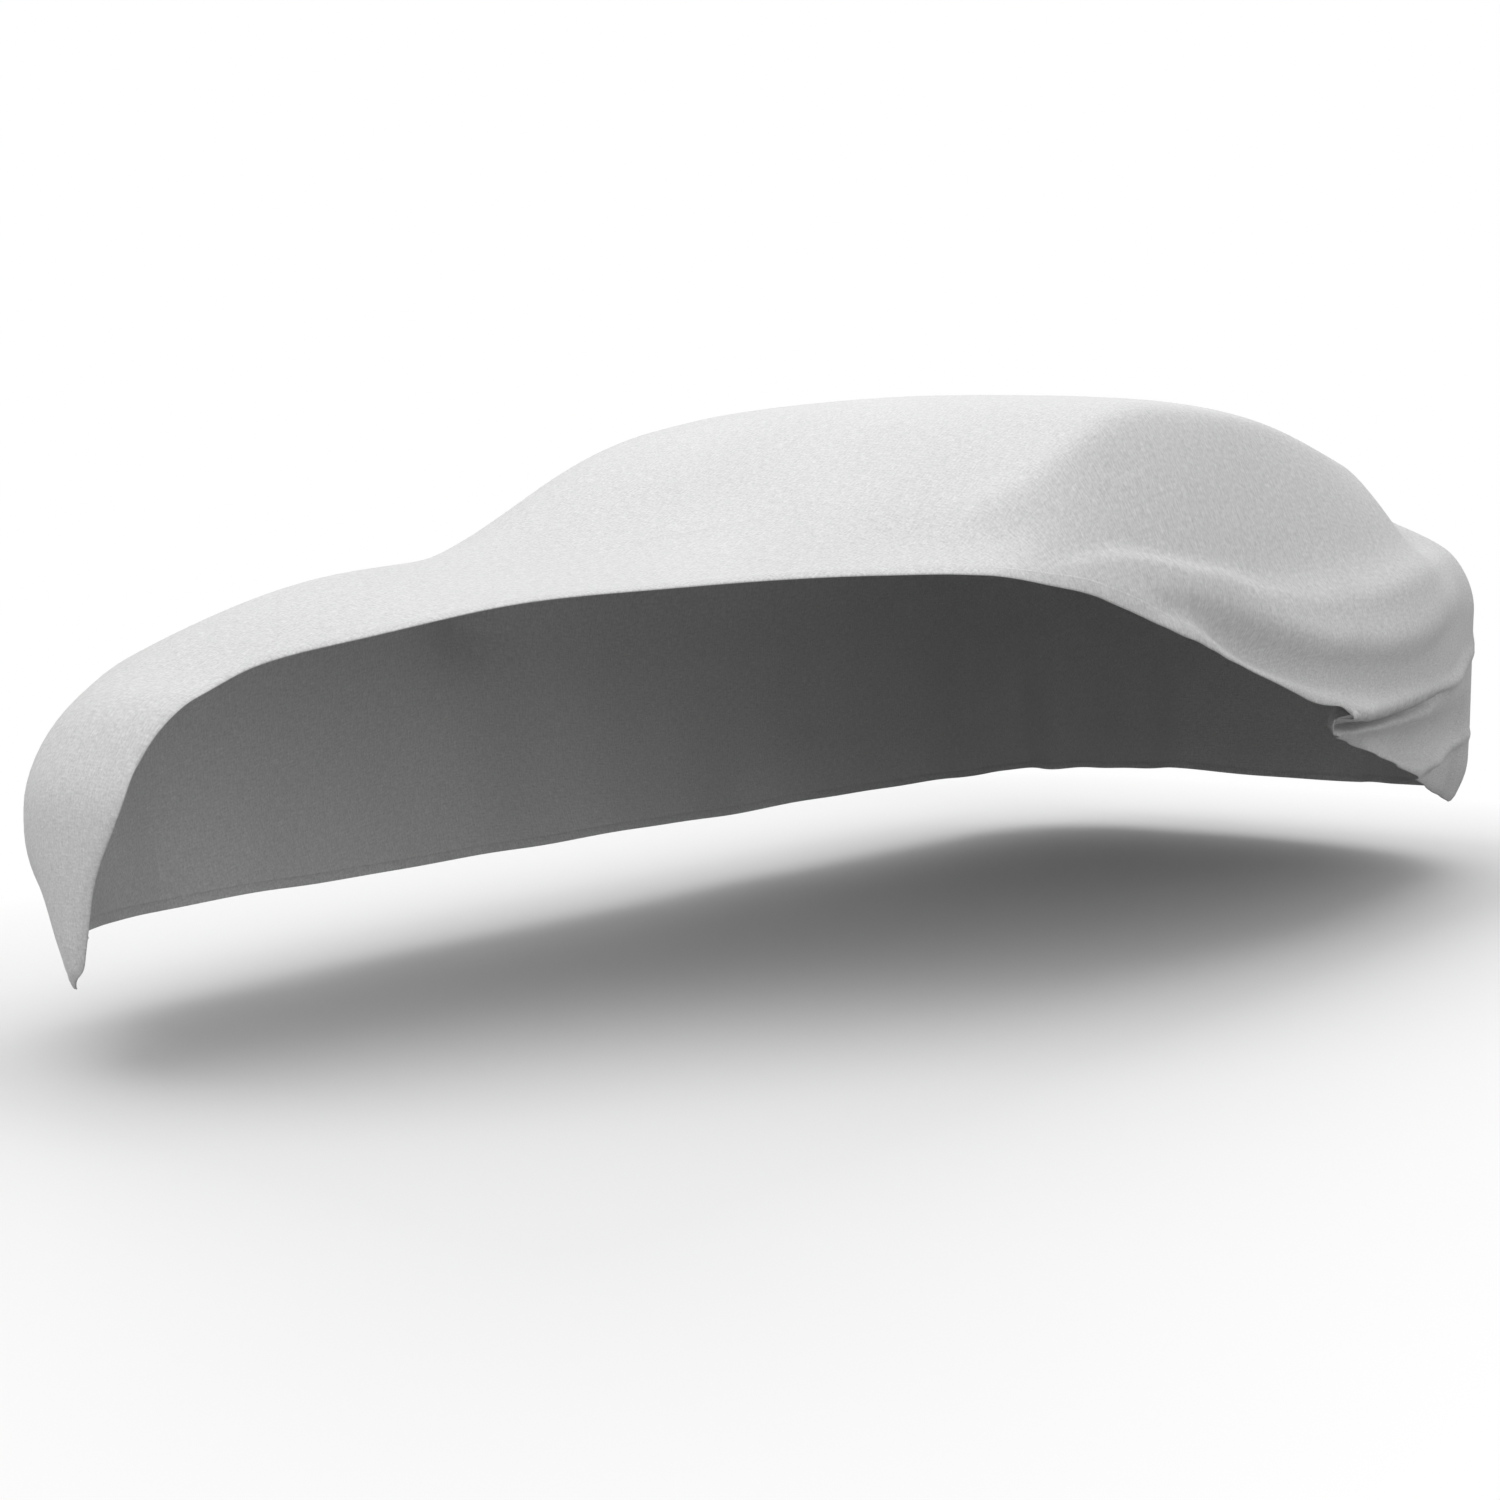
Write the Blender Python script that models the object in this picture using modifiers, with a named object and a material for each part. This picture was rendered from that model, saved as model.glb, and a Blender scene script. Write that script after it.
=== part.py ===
"""Fitted car cover of mid-size saloon size: one cloth in its hanging shape.

Units are metres, +Z is up, the nose of the cover points to -Y and its left side to +X.
The cloth is shaped in a standing frame (height 0 at the floor, along 0 at mid-length) and
the finished object is placed so that its origin is the underside of the crown, which is
where the cover is held up. The front left quarter is drawn up, so the hem there runs from
the nose, back along the front deck, and down the left side to the tail.

A point of the cloth is named by its place in the flat pattern: across (to the left) and
along (to the tail). Inside the plan outline it lies on the top surface. Past the outline
it has turned over the shoulder and hangs down the wall, so the pattern measures the drop.
"""

from typing import NamedTuple

import bpy
import numpy as np

# --- driving sizes -------------------------------------------------------------------

CLOTH_THICKNESS = 0.002

HALF_WIDTH = 0.96
NOSE_ALONG = -2.525
TAIL_ALONG = 2.405
CORNER_RADIUS = 0.57
SHOULDER_RADIUS = 0.18
TURN_START = CORNER_RADIUS - SHOULDER_RADIUS
TURN_END = TURN_START + SHOULDER_RADIUS * np.pi / 2

# How far the two ends bow back at the corners, and how much narrower they get.
NOSE_BOW = 0.095
TAIL_BOW = 0.10
NOSE_TAPER = 0.037
TAIL_TAPER = 0.053
NOSE_SHAPING = (-0.9, -2.4)
TAIL_SHAPING = (1.0, 2.4)

# The raised middle in cross-section: a flat crown and straight sides, as shares of the
# half width. It rises and falls again between these places along the cover.
CROWN_SHARE_LEFT = 0.755
CROWN_SHARE_RIGHT = 0.695
CROWN_LEFT_TO_RIGHT = (0.30, -0.30)
SIDE_FOOT_SHARE = 0.961
CROWN_FALL = 0.08
CROWN_TO_SIDE_BLEND = 0.155
MIDDLE_ALONG = 0.35
MIDDLE_BOW = 0.10
MIDDLE_RISES = (-1.25, -0.45)
MIDDLE_FALLS = (2.10, 1.30)
BOW_FADES = (2.6, 1.6)
DECK_ROUNDNESS = 2.4

# Below this height the wall is drawn in towards the hem.
TUCK_HEIGHT = 0.50
TUCK_REACH = 0.30
TUCK_DEPTH = 0.069

HEM_HEIGHT = 0.22
TIP_HEIGHT = 0.19
TIP_TURN = 0.095
TAIL_HEIGHT = 0.255
TAIL_SHARPNESS = 4.0
HEM_LIP_WIDTH = 0.030
HEM_LIP_DROP = 0.005

# The loose lower wall flutes unevenly, and more round the corners. The flutes fade in
# over this much wall below the shoulder's turn, and end before the drawn-up left side.
FLUTES_FADE_IN = 0.55
FLUTES_END_LEFT = (0.90, 0.40)
FLUTES_END_NOSE = (-0.55, -1.00)
CORNER_FLUTE_GAIN = 0.7

# Where the cover is held up: the underside of the cloth at this place along the crown.
HELD_ALONG = 0.30

CELLS_ALONG = 58
CELLS_ACROSS = 48
LEFT_CROWDING = 0.66

# No crease is sharper than this half width, so that the cells carry it.
FINEST_WIDTH = 0.018

CLOTH_COLOUR = (0.72, 0.72, 0.72, 1.0)
CLOTH_ROUGHNESS = 0.9


class Station(NamedTuple):
    """Heights of the cloth at one place along it: on the centre line and at the shoulder."""

    along: float
    crown: float
    shoulder: float


STATIONS = (
    Station(along=-2.47, crown=0.72, shoulder=0.655),
    Station(along=-2.20, crown=0.841, shoulder=0.725),
    Station(along=-1.80, crown=0.958, shoulder=0.791),
    Station(along=-1.40, crown=1.001, shoulder=0.868),
    Station(along=-1.05, crown=1.085, shoulder=0.934),
    Station(along=-0.65, crown=1.267, shoulder=0.983),
    Station(along=-0.25, crown=1.452, shoulder=1.004),
    Station(along=0.15, crown=1.498, shoulder=1.017),
    Station(along=0.60, crown=1.493, shoulder=1.041),
    Station(along=1.05, crown=1.417, shoulder=1.058),
    Station(along=1.45, crown=1.314, shoulder=1.058),
    Station(along=1.80, crown=1.186, shoulder=1.045),
    Station(along=2.10, crown=1.122, shoulder=1.021),
    Station(along=2.46, crown=1.077, shoulder=0.967),
)


class Swell(NamedTuple):
    """A soft rounded rise, or a hollow where the rise is below zero, at a pattern place."""

    across: float
    along: float
    reach_across: float
    reach_along: float
    rise: float


# Loose air under the top, which lifts the cloth straight up.
PUFFS = (
    Swell(across=-0.58, along=-1.635, reach_across=0.40, reach_along=0.70, rise=0.086),
    Swell(across=-0.62, along=-0.75, reach_across=0.355, reach_along=0.375, rise=0.113),
)

# Rises and hollows square to the cloth.
SWELLS = (
    Swell(across=-1.02, along=-0.74, reach_across=0.13, reach_along=0.15, rise=0.085),
    Swell(across=0.70, along=-0.78, reach_across=0.08, reach_along=0.11, rise=-0.018),
    Swell(across=0.74, along=-0.36, reach_across=0.22, reach_along=0.13, rise=-0.014),
    Swell(across=0.80, along=-0.02, reach_across=0.20, reach_along=0.15, rise=0.010),
    Swell(across=0.80, along=0.49, reach_across=0.16, reach_along=0.26, rise=-0.016),
    Swell(across=0.80, along=1.30, reach_across=0.14, reach_along=0.10, rise=0.006),
    Swell(across=0.82, along=1.55, reach_across=0.14, reach_along=0.10, rise=-0.020),
    Swell(across=0.46, along=-0.02, reach_across=0.25, reach_along=0.12, rise=-0.007),
    Swell(across=0.62, along=1.95, reach_across=0.22, reach_along=0.20, rise=0.012),
    Swell(across=-0.40, along=-3.00, reach_across=0.16, reach_along=0.16, rise=0.035),
    Swell(across=0.79, along=1.78, reach_across=0.09, reach_along=0.22, rise=0.014),
    Swell(across=-0.97, along=-2.80, reach_across=0.26, reach_along=0.10, rise=-0.045),
    Swell(across=-0.86, along=-2.58, reach_across=0.20, reach_along=0.10, rise=0.009),
    Swell(across=-0.25, along=-2.40, reach_across=0.26, reach_along=0.09, rise=0.020),
    Swell(across=-0.74, along=-2.30, reach_across=0.16, reach_along=0.12, rise=-0.008),
    Swell(across=1.55, along=2.05, reach_across=0.08, reach_along=0.12, rise=0.012),
    Swell(across=0.675, along=-0.67, reach_across=0.06, reach_along=0.10, rise=0.018),
    Swell(across=0.56, along=-0.86, reach_across=0.10, reach_along=0.10, rise=-0.014),
)


class Flute(NamedTuple):
    """One of the waves that add up to the flutes: its length along the hem and its depth."""

    length: float
    depth: float
    start: float


FLUTES = (
    Flute(length=1.37, depth=0.009, start=0.35),
    Flute(length=0.79, depth=0.009, start=0.10),
    Flute(length=0.46, depth=0.005, start=0.20),
)


class CreaseRow(NamedTuple):
    """One station of a crease: its line, how far the cloth steps out, and how softly."""

    along: float
    across: float
    out: float
    width: float


# Creases of the drawn-up left side, from the belt down. Where out is below zero, the cloth
# steps in.
BELT = (
    CreaseRow(along=-0.75, across=0.842, out=0.000, width=0.008),
    CreaseRow(along=-0.55, across=0.858, out=0.010, width=0.008),
    CreaseRow(along=-0.40, across=0.870, out=0.020, width=0.008),
    CreaseRow(along=-0.28, across=0.884, out=0.024, width=0.007),
    CreaseRow(along=-0.17, across=0.897, out=0.026, width=0.007),
    CreaseRow(along=-0.06, across=0.906, out=0.026, width=0.007),
    CreaseRow(along=0.08, across=0.915, out=0.028, width=0.008),
    CreaseRow(along=0.25, across=0.932, out=0.032, width=0.011),
    CreaseRow(along=0.45, across=0.944, out=0.046, width=0.023),
    CreaseRow(along=0.74, across=0.950, out=0.058, width=0.032),
    CreaseRow(along=1.00, across=0.944, out=0.058, width=0.032),
    CreaseRow(along=1.25, across=0.928, out=0.052, width=0.032),
    CreaseRow(along=1.55, across=0.900, out=0.038, width=0.034),
    CreaseRow(along=1.80, across=0.865, out=0.018, width=0.036),
    CreaseRow(along=2.02, across=0.830, out=0.000, width=0.036),
)
WRINKLE = (
    CreaseRow(along=0.20, across=0.940, out=0.000, width=0.006),
    CreaseRow(along=0.40, across=0.962, out=-0.004, width=0.006),
    CreaseRow(along=0.75, across=0.984, out=-0.006, width=0.007),
    CreaseRow(along=1.10, across=0.980, out=-0.005, width=0.007),
    CreaseRow(along=1.45, across=0.958, out=-0.003, width=0.008),
    CreaseRow(along=1.75, across=0.920, out=0.000, width=0.008),
)
MID_RISE = (
    CreaseRow(along=-0.05, across=0.935, out=0.000, width=0.020),
    CreaseRow(along=0.15, across=0.950, out=0.010, width=0.022),
    CreaseRow(along=0.35, across=0.985, out=0.018, width=0.024),
    CreaseRow(along=0.60, across=1.012, out=0.022, width=0.026),
    CreaseRow(along=0.90, across=1.035, out=0.022, width=0.028),
    CreaseRow(along=1.20, across=1.030, out=0.020, width=0.028),
    CreaseRow(along=1.50, across=1.000, out=0.012, width=0.028),
    CreaseRow(along=1.80, across=0.960, out=0.000, width=0.028),
)
SLING = (
    CreaseRow(along=-0.42, across=0.922, out=0.000, width=0.011),
    CreaseRow(along=-0.22, across=0.938, out=-0.020, width=0.011),
    CreaseRow(along=-0.10, across=0.952, out=-0.042, width=0.013),
    CreaseRow(along=0.00, across=0.968, out=-0.063, width=0.016),
    CreaseRow(along=0.10, across=0.983, out=-0.074, width=0.019),
    CreaseRow(along=0.20, across=1.000, out=-0.074, width=0.022),
    CreaseRow(along=0.36, across=1.026, out=-0.060, width=0.025),
    CreaseRow(along=0.56, across=1.060, out=-0.042, width=0.028),
    CreaseRow(along=0.80, across=1.096, out=-0.034, width=0.031),
    CreaseRow(along=1.05, across=1.116, out=-0.032, width=0.033),
    CreaseRow(along=1.26, across=1.106, out=-0.026, width=0.034),
    CreaseRow(along=1.46, across=1.078, out=-0.014, width=0.032),
    CreaseRow(along=1.62, across=1.050, out=-0.006, width=0.032),
    CreaseRow(along=1.80, across=1.020, out=0.000, width=0.032),
)
FLARE = (
    CreaseRow(along=-0.45, across=0.950, out=0.000, width=0.009),
    CreaseRow(along=-0.25, across=0.962, out=0.016, width=0.009),
    CreaseRow(along=-0.10, across=0.984, out=0.036, width=0.010),
    CreaseRow(along=0.00, across=1.006, out=0.051, width=0.012),
    CreaseRow(along=0.08, across=1.026, out=0.060, width=0.014),
    CreaseRow(along=0.25, across=1.074, out=0.066, width=0.018),
    CreaseRow(along=0.45, across=1.138, out=0.060, width=0.023),
    CreaseRow(along=0.65, across=1.184, out=0.056, width=0.026),
    CreaseRow(along=0.85, across=1.224, out=0.054, width=0.027),
    CreaseRow(along=1.10, across=1.244, out=0.052, width=0.027),
    CreaseRow(along=1.35, across=1.254, out=0.046, width=0.024),
    CreaseRow(along=1.60, across=1.242, out=0.036, width=0.014),
    CreaseRow(along=1.78, across=1.192, out=0.026, width=0.012),
    CreaseRow(along=1.90, across=1.150, out=0.014, width=0.012),
    CreaseRow(along=2.00, across=1.100, out=0.000, width=0.014),
)
ELBOW = (
    CreaseRow(along=0.55, across=1.208, out=0.000, width=0.009),
    CreaseRow(along=0.61, across=1.218, out=0.018, width=0.010),
    CreaseRow(along=0.69, across=1.227, out=0.020, width=0.012),
    CreaseRow(along=0.82, across=1.237, out=0.000, width=0.012),
)
DEEP_TUCK = (
    CreaseRow(along=0.55, across=1.236, out=0.000, width=0.006),
    CreaseRow(along=0.61, across=1.240, out=-0.076, width=0.006),
    CreaseRow(along=0.68, across=1.243, out=-0.130, width=0.007),
    CreaseRow(along=0.76, across=1.247, out=-0.156, width=0.008),
    CreaseRow(along=0.87, across=1.254, out=-0.166, width=0.008),
    CreaseRow(along=1.00, across=1.259, out=-0.166, width=0.009),
    CreaseRow(along=1.11, across=1.261, out=-0.156, width=0.009),
    CreaseRow(along=1.23, across=1.263, out=-0.130, width=0.009),
    CreaseRow(along=1.40, across=1.272, out=-0.084, width=0.014),
    CreaseRow(along=1.60, across=1.275, out=-0.050, width=0.030),
    CreaseRow(along=1.76, across=1.235, out=-0.034, width=0.034),
    CreaseRow(along=1.88, across=1.190, out=-0.020, width=0.034),
    CreaseRow(along=2.00, across=1.130, out=0.000, width=0.034),
)
SLOT_RETURN = (
    CreaseRow(along=0.56, across=1.264, out=0.000, width=0.006),
    CreaseRow(along=0.63, across=1.274, out=0.014, width=0.007),
    CreaseRow(along=0.72, across=1.286, out=0.044, width=0.008),
    CreaseRow(along=0.85, across=1.300, out=0.090, width=0.010),
    CreaseRow(along=1.00, across=1.306, out=0.104, width=0.011),
    CreaseRow(along=1.15, across=1.308, out=0.090, width=0.011),
    CreaseRow(along=1.30, across=1.306, out=0.058, width=0.011),
    CreaseRow(along=1.45, across=1.298, out=0.025, width=0.012),
    CreaseRow(along=1.55, across=1.290, out=0.006, width=0.012),
    CreaseRow(along=1.70, across=1.280, out=0.000, width=0.012),
)
LOWER_SLOPE = (
    CreaseRow(along=0.62, across=1.305, out=0.000, width=0.020),
    CreaseRow(along=0.78, across=1.315, out=-0.040, width=0.022),
    CreaseRow(along=0.95, across=1.332, out=-0.074, width=0.028),
    CreaseRow(along=1.20, across=1.350, out=-0.094, width=0.038),
    CreaseRow(along=1.45, across=1.375, out=-0.086, width=0.046),
    CreaseRow(along=1.75, across=1.370, out=-0.050, width=0.046),
    CreaseRow(along=2.00, across=1.340, out=0.000, width=0.046),
)
TAIL_FLARE = (
    CreaseRow(along=0.95, across=1.370, out=0.000, width=0.014),
    CreaseRow(along=1.08, across=1.405, out=0.026, width=0.014),
    CreaseRow(along=1.22, across=1.446, out=0.046, width=0.014),
    CreaseRow(along=1.40, across=1.490, out=0.058, width=0.015),
    CreaseRow(along=1.56, across=1.500, out=0.056, width=0.015),
    CreaseRow(along=1.74, across=1.486, out=0.042, width=0.015),
    CreaseRow(along=1.92, across=1.448, out=0.020, width=0.015),
    CreaseRow(along=2.06, across=1.400, out=0.000, width=0.016),
)
TAIL_POCKET = (
    CreaseRow(along=1.40, across=1.560, out=0.000, width=0.012),
    CreaseRow(along=1.52, across=1.548, out=-0.028, width=0.012),
    CreaseRow(along=1.66, across=1.528, out=-0.038, width=0.013),
    CreaseRow(along=1.82, across=1.498, out=-0.034, width=0.015),
    CreaseRow(along=1.96, across=1.465, out=-0.014, width=0.018),
    CreaseRow(along=2.08, across=1.430, out=0.000, width=0.018),
)
CREASES = (
    BELT,
    WRINKLE,
    MID_RISE,
    SLING,
    FLARE,
    ELBOW,
    DEEP_TUCK,
    SLOT_RETURN,
    LOWER_SLOPE,
    TAIL_FLARE,
    TAIL_POCKET,
)


class HemPoint(NamedTuple):
    """A point of the drawn-up left hem in the flat pattern."""

    along: float
    across: float


# The hem climbs the nose beside the centre line, crosses the front deck to the foot of
# the left side, and slants down the wall to the tail.
LEFT_HEM = (
    HemPoint(along=-2.95, across=-0.394),
    HemPoint(along=-2.91, across=-0.347),
    HemPoint(along=-2.85, across=-0.318),
    HemPoint(along=-2.745, across=-0.270),
    HemPoint(along=-2.66, across=-0.213),
    HemPoint(along=-2.58, across=-0.168),
    HemPoint(along=-2.49, across=-0.162),
    HemPoint(along=-2.40, across=-0.140),
    HemPoint(along=-2.31, across=-0.150),
    HemPoint(along=-2.215, across=-0.146),
    HemPoint(along=-2.05, across=-0.008),
    HemPoint(along=-1.80, across=0.118),
    HemPoint(along=-1.50, across=0.180),
    HemPoint(along=-1.30, across=0.310),
    HemPoint(along=-1.10, across=0.530),
    HemPoint(along=-0.90, across=0.770),
    HemPoint(along=-0.65, across=0.896),
    HemPoint(along=-0.40, across=0.954),
    HemPoint(along=0.00, across=1.024),
    HemPoint(along=0.22, across=1.088),
    HemPoint(along=0.36, across=1.146),
    HemPoint(along=0.46, across=1.176),
    HemPoint(along=0.53, across=1.188),
    HemPoint(along=0.575, across=1.208),
    HemPoint(along=0.615, across=1.252),
    HemPoint(along=0.66, across=1.288),
    HemPoint(along=0.73, across=1.312),
    HemPoint(along=0.82, across=1.338),
    HemPoint(along=1.02, across=1.399),
    HemPoint(along=1.35, across=1.518),
    HemPoint(along=1.55, across=1.590),
    HemPoint(along=1.78, across=1.655),
    HemPoint(along=1.97, across=1.672),
    HemPoint(along=2.17, across=1.630),
    HemPoint(along=2.40, across=1.52),
)

# --- derived sizes ---------------------------------------------------------------------

CORE_ACROSS = HALF_WIDTH - CORNER_RADIUS
CORE_FRONT = NOSE_ALONG + CORNER_RADIUS
CORE_REAR = TAIL_ALONG - CORNER_RADIUS
HEM_RADIUS = 1.25
EIGHTH_TURN = np.pi / 4
NORMAL_STEP = 0.001
SMALL = 1e-9


# --- curves ----------------------------------------------------------------------------


def batten(places, values, at):
    """Height of a springy batten bent through the points: a natural cubic spline."""
    places = np.asarray(places, float)
    values = np.asarray(values, float)
    gaps = np.diff(places)
    slopes = np.diff(values) / gaps
    system = np.eye(len(places))
    load = np.zeros(len(places))
    for row in range(1, len(places) - 1):
        system[row, row - 1 : row + 2] = gaps[row - 1], 2 * (gaps[row - 1] + gaps[row]), gaps[row]
        load[row] = 6 * (slopes[row] - slopes[row - 1])
    bend = np.linalg.solve(system, load)
    at = np.clip(at, places[0], places[-1])
    left = np.clip(np.searchsorted(places, at) - 1, 0, len(gaps) - 1)
    gap = gaps[left]
    to_right = (at - places[left]) / gap
    to_left = 1 - to_right
    straight = to_left * values[left] + to_right * values[left + 1]
    curve = (to_left**3 - to_left) * bend[left] + (to_right**3 - to_right) * bend[left + 1]
    return straight + curve * gap**2 / 6


def ease(share):
    """0 to 1 with a level start and end."""
    share = np.clip(share, 0, 1)
    return share * share * (3 - 2 * share)


def eased_between(start, end, at):
    """0 at start, 1 at end, eased between them; end may lie on either side of start."""
    return ease((at - start) / (end - start))


def eased_steps(places, values, at):
    """Goes from row to row of a table, level at each row, so it never overshoots."""
    places = np.asarray(places, float)
    values = np.asarray(values, float)
    left = np.clip(np.searchsorted(places, at) - 1, 0, len(places) - 2)
    share = ease((at - places[left]) / (places[left + 1] - places[left]))
    return values[left] + (values[left + 1] - values[left]) * share


def rounded_lower(first, second, blend):
    """The lower of two values, with the corner between them rounded."""
    return 0.5 * (first + second - np.sqrt((first - second) ** 2 + blend**2))


def bell(distance):
    """A bell-shaped rise of 1 that fades within about two units."""
    return np.exp(-(distance**2))


def column(table, name):
    """One named column of a table of rows."""
    return np.array([getattr(row, name) for row in table])


# --- the hanging shape -------------------------------------------------------------------


def top_height(x, y):
    """Height of the top surface over the plan point (x, y)."""
    share = np.abs(x) / HALF_WIDTH
    from_middle = y - MIDDLE_ALONG
    bow = 1 + MIDDLE_BOW * share**2 * eased_between(*BOW_FADES, np.abs(from_middle))
    bowed = MIDDLE_ALONG + from_middle * bow
    along = column(STATIONS, "along")
    bowed = np.clip(bowed, along[0], along[-1])
    crown = batten(along, column(STATIONS, "crown"), bowed)
    shoulder = batten(along, column(STATIONS, "shoulder"), y)
    raised = eased_between(*MIDDLE_RISES, bowed) * eased_between(*MIDDLE_FALLS, bowed)

    to_right = eased_between(*CROWN_LEFT_TO_RIGHT, x)
    crown_share = CROWN_SHARE_LEFT + (CROWN_SHARE_RIGHT - CROWN_SHARE_LEFT) * to_right
    roof = 1 - CROWN_FALL * (share / crown_share) ** 2
    side = (SIDE_FOOT_SHARE - share) / (SIDE_FOOT_SHARE - crown_share) * (1 - CROWN_FALL)
    raised_section = rounded_lower(roof, side, CROWN_TO_SIDE_BLEND)
    deck_section = 1 - share**DECK_ROUNDNESS
    section = raised * raised_section + (1 - raised) * deck_section
    lift = sum(swell_rise(puff, x, y) for puff in PUFFS)
    return shoulder + (crown - shoulder) * section + lift


def swell_rise(swell, across, along):
    """Rise of one swell at the pattern points."""
    aside = (across - swell.across) / swell.reach_across
    ahead = (along - swell.along) / swell.reach_along
    return swell.rise * bell(aside) * bell(ahead)


def hang(across, along):
    """Where pattern points hang, before folds: top surface, rounded shoulder, then wall."""
    core_x = np.clip(across, -CORE_ACROSS, CORE_ACROSS)
    core_y = np.clip(along, CORE_FRONT, CORE_REAR)
    out = np.hypot(across - core_x, along - core_y) + SMALL
    out_x = (across - core_x) / out
    out_y = (along - core_y) / out

    turn = np.clip((out - TURN_START) / SHOULDER_RADIUS, 0, np.pi / 2)
    reach = np.where(out < TURN_START, out, TURN_START + SHOULDER_RADIUS * np.sin(turn))
    drop = SHOULDER_RADIUS * (1 - np.cos(turn)) + np.clip(out - TURN_END, 0, None)
    x = core_x + out_x * reach
    y = core_y + out_y * reach
    z = top_height(x, y) - drop

    drawn_in = TUCK_DEPTH * np.clip((TUCK_HEIGHT - z) / TUCK_REACH, 0, None) ** 2
    drawn_in = drawn_in * turn / (np.pi / 2)
    x = x - out_x * drawn_in
    y = y - out_y * drawn_in

    nose = eased_between(*NOSE_SHAPING, y)
    tail = eased_between(*TAIL_SHAPING, y)
    bow = (x / HALF_WIDTH) ** 2
    y = y + NOSE_BOW * bow * nose - TAIL_BOW * bow * tail
    x = x * (1 - NOSE_TAPER * nose - TAIL_TAPER * tail)
    return np.stack([x, y, z], axis=-1)


def outward(across, along):
    """Unit normals of the hanging shape, pointing away from its hollow."""
    step = NORMAL_STEP
    leftward = hang(across + step, along) - hang(across - step, along)
    tailward = hang(across, along + step) - hang(across, along - step)
    normal = np.cross(leftward, tailward)
    return normal / np.linalg.norm(normal, axis=-1, keepdims=True)


def crease_rise(crease, across, along):
    """How far one crease has moved the cloth out at the pattern points: a soft step."""
    place = column(crease, "along")
    line = batten(place, column(crease, "across"), along)
    out = eased_steps(place, column(crease, "out"), along)
    width = eased_steps(place, column(crease, "width"), along)
    return out * 0.5 * (1 + np.tanh((across - line) / np.maximum(width, FINEST_WIDTH)))


def flute_rise(across, along):
    """Uneven flutes of the loose lower wall, counted along the hem."""
    core_x = np.clip(across, -CORE_ACROSS, CORE_ACROSS)
    core_y = np.clip(along, CORE_FRONT, CORE_REAR)
    past = np.hypot(across - core_x, along - core_y)
    turn = np.arctan2(across - core_x, along - core_y + SMALL)
    on_nose = along < CORE_FRONT
    turn = np.where(on_nose & (turn > 0), turn - 2 * np.pi, turn)
    over = np.where(on_nose, -2 * CORE_ACROSS - core_x, core_x)
    walk = core_y + over + HEM_RADIUS * turn
    wave = sum(
        flute.depth * np.sin(2 * np.pi * (walk - flute.start) / flute.length) for flute in FLUTES
    )
    loose = ease((past - TURN_END) / FLUTES_FADE_IN)
    gain = 1 + CORNER_FLUTE_GAIN * np.sin(2 * turn) ** 2
    left_end = np.where(
        on_nose, eased_between(*FLUTES_END_NOSE, across), eased_between(*FLUTES_END_LEFT, across)
    )
    return wave * loose * gain * left_end


def cloth_points(across, along, from_left_hem):
    """The finished outer face of the cloth at pattern points, in the standing frame."""
    rise = flute_rise(across, along)
    rise = rise + sum(swell_rise(swell, across, along) for swell in SWELLS)
    rise = rise + sum(crease_rise(crease, across, along) for crease in CREASES)
    lip = HEM_LIP_DROP * np.clip(1 - from_left_hem / HEM_LIP_WIDTH, 0, 1) ** 2
    rise = rise - lip
    return hang(across, along) + outward(across, along) * rise[..., None]


# --- the cut sheet -----------------------------------------------------------------------


def hem_place(core_x, core_y, out_x, out_y, height):
    """Pattern point where the wall outside a core point reaches a height above the floor."""
    edge = top_height(core_x + out_x * CORNER_RADIUS, core_y + out_y * CORNER_RADIUS)
    out = TURN_END + edge - SHOULDER_RADIUS - height
    return np.stack([core_x + out_x * out, core_y + out_y * out], axis=-1)


def straight_and_turn(walk, start, end):
    """Splits a walk along the hem into its place on the straight and its turn past it."""
    straight = np.clip(walk, start, end)
    return straight, (walk - straight) / HEM_RADIUS


def right_hem(share):
    """Right hem, from the middle of the front corner to the middle of the rear one."""
    corner = EIGHTH_TURN * HEM_RADIUS
    walk = CORE_FRONT - corner + share * (CORE_REAR - CORE_FRONT + 2 * corner)
    core_y, turn = straight_and_turn(walk, CORE_FRONT, CORE_REAR)
    return hem_place(np.full_like(share, -CORE_ACROSS), core_y, -np.cos(turn), np.sin(turn), HEM_HEIGHT)


def rear_hem(share):
    """Rear hem, from the middle of the right corner to the middle of the left one."""
    corner = EIGHTH_TURN * HEM_RADIUS
    walk = -CORE_ACROSS - corner + share * 2 * (CORE_ACROSS + corner)
    core_x, turn = straight_and_turn(walk, -CORE_ACROSS, CORE_ACROSS)
    height = HEM_HEIGHT + (TAIL_HEIGHT - HEM_HEIGHT) * share**TAIL_SHARPNESS
    return hem_place(core_x, np.full_like(share, CORE_REAR), np.sin(turn), np.cos(turn), height)


def front_hem(share):
    """Front hem, from the middle of the right corner down to the hanging tip."""
    turn = -EIGHTH_TURN + (EIGHTH_TURN - TIP_TURN) * share
    height = HEM_HEIGHT + (TIP_HEIGHT - HEM_HEIGHT) * share**2
    core_x = np.full_like(share, -CORE_ACROSS)
    return hem_place(core_x, np.full_like(share, CORE_FRONT), np.sin(turn), -np.cos(turn), height)


def left_hem(share):
    """Left hem, from the hanging tip to the middle of the rear left corner."""
    tip = front_hem(np.ones(1))[0]
    corner = rear_hem(np.ones(1))[0]
    along = np.concatenate([[tip[1]], column(LEFT_HEM, "along"), [corner[1]]])
    across = np.concatenate([[tip[0]], column(LEFT_HEM, "across"), [corner[0]]])
    place = along[0] + share * (along[-1] - along[0])
    return np.stack([batten(along, across, place), place], axis=-1)


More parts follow.
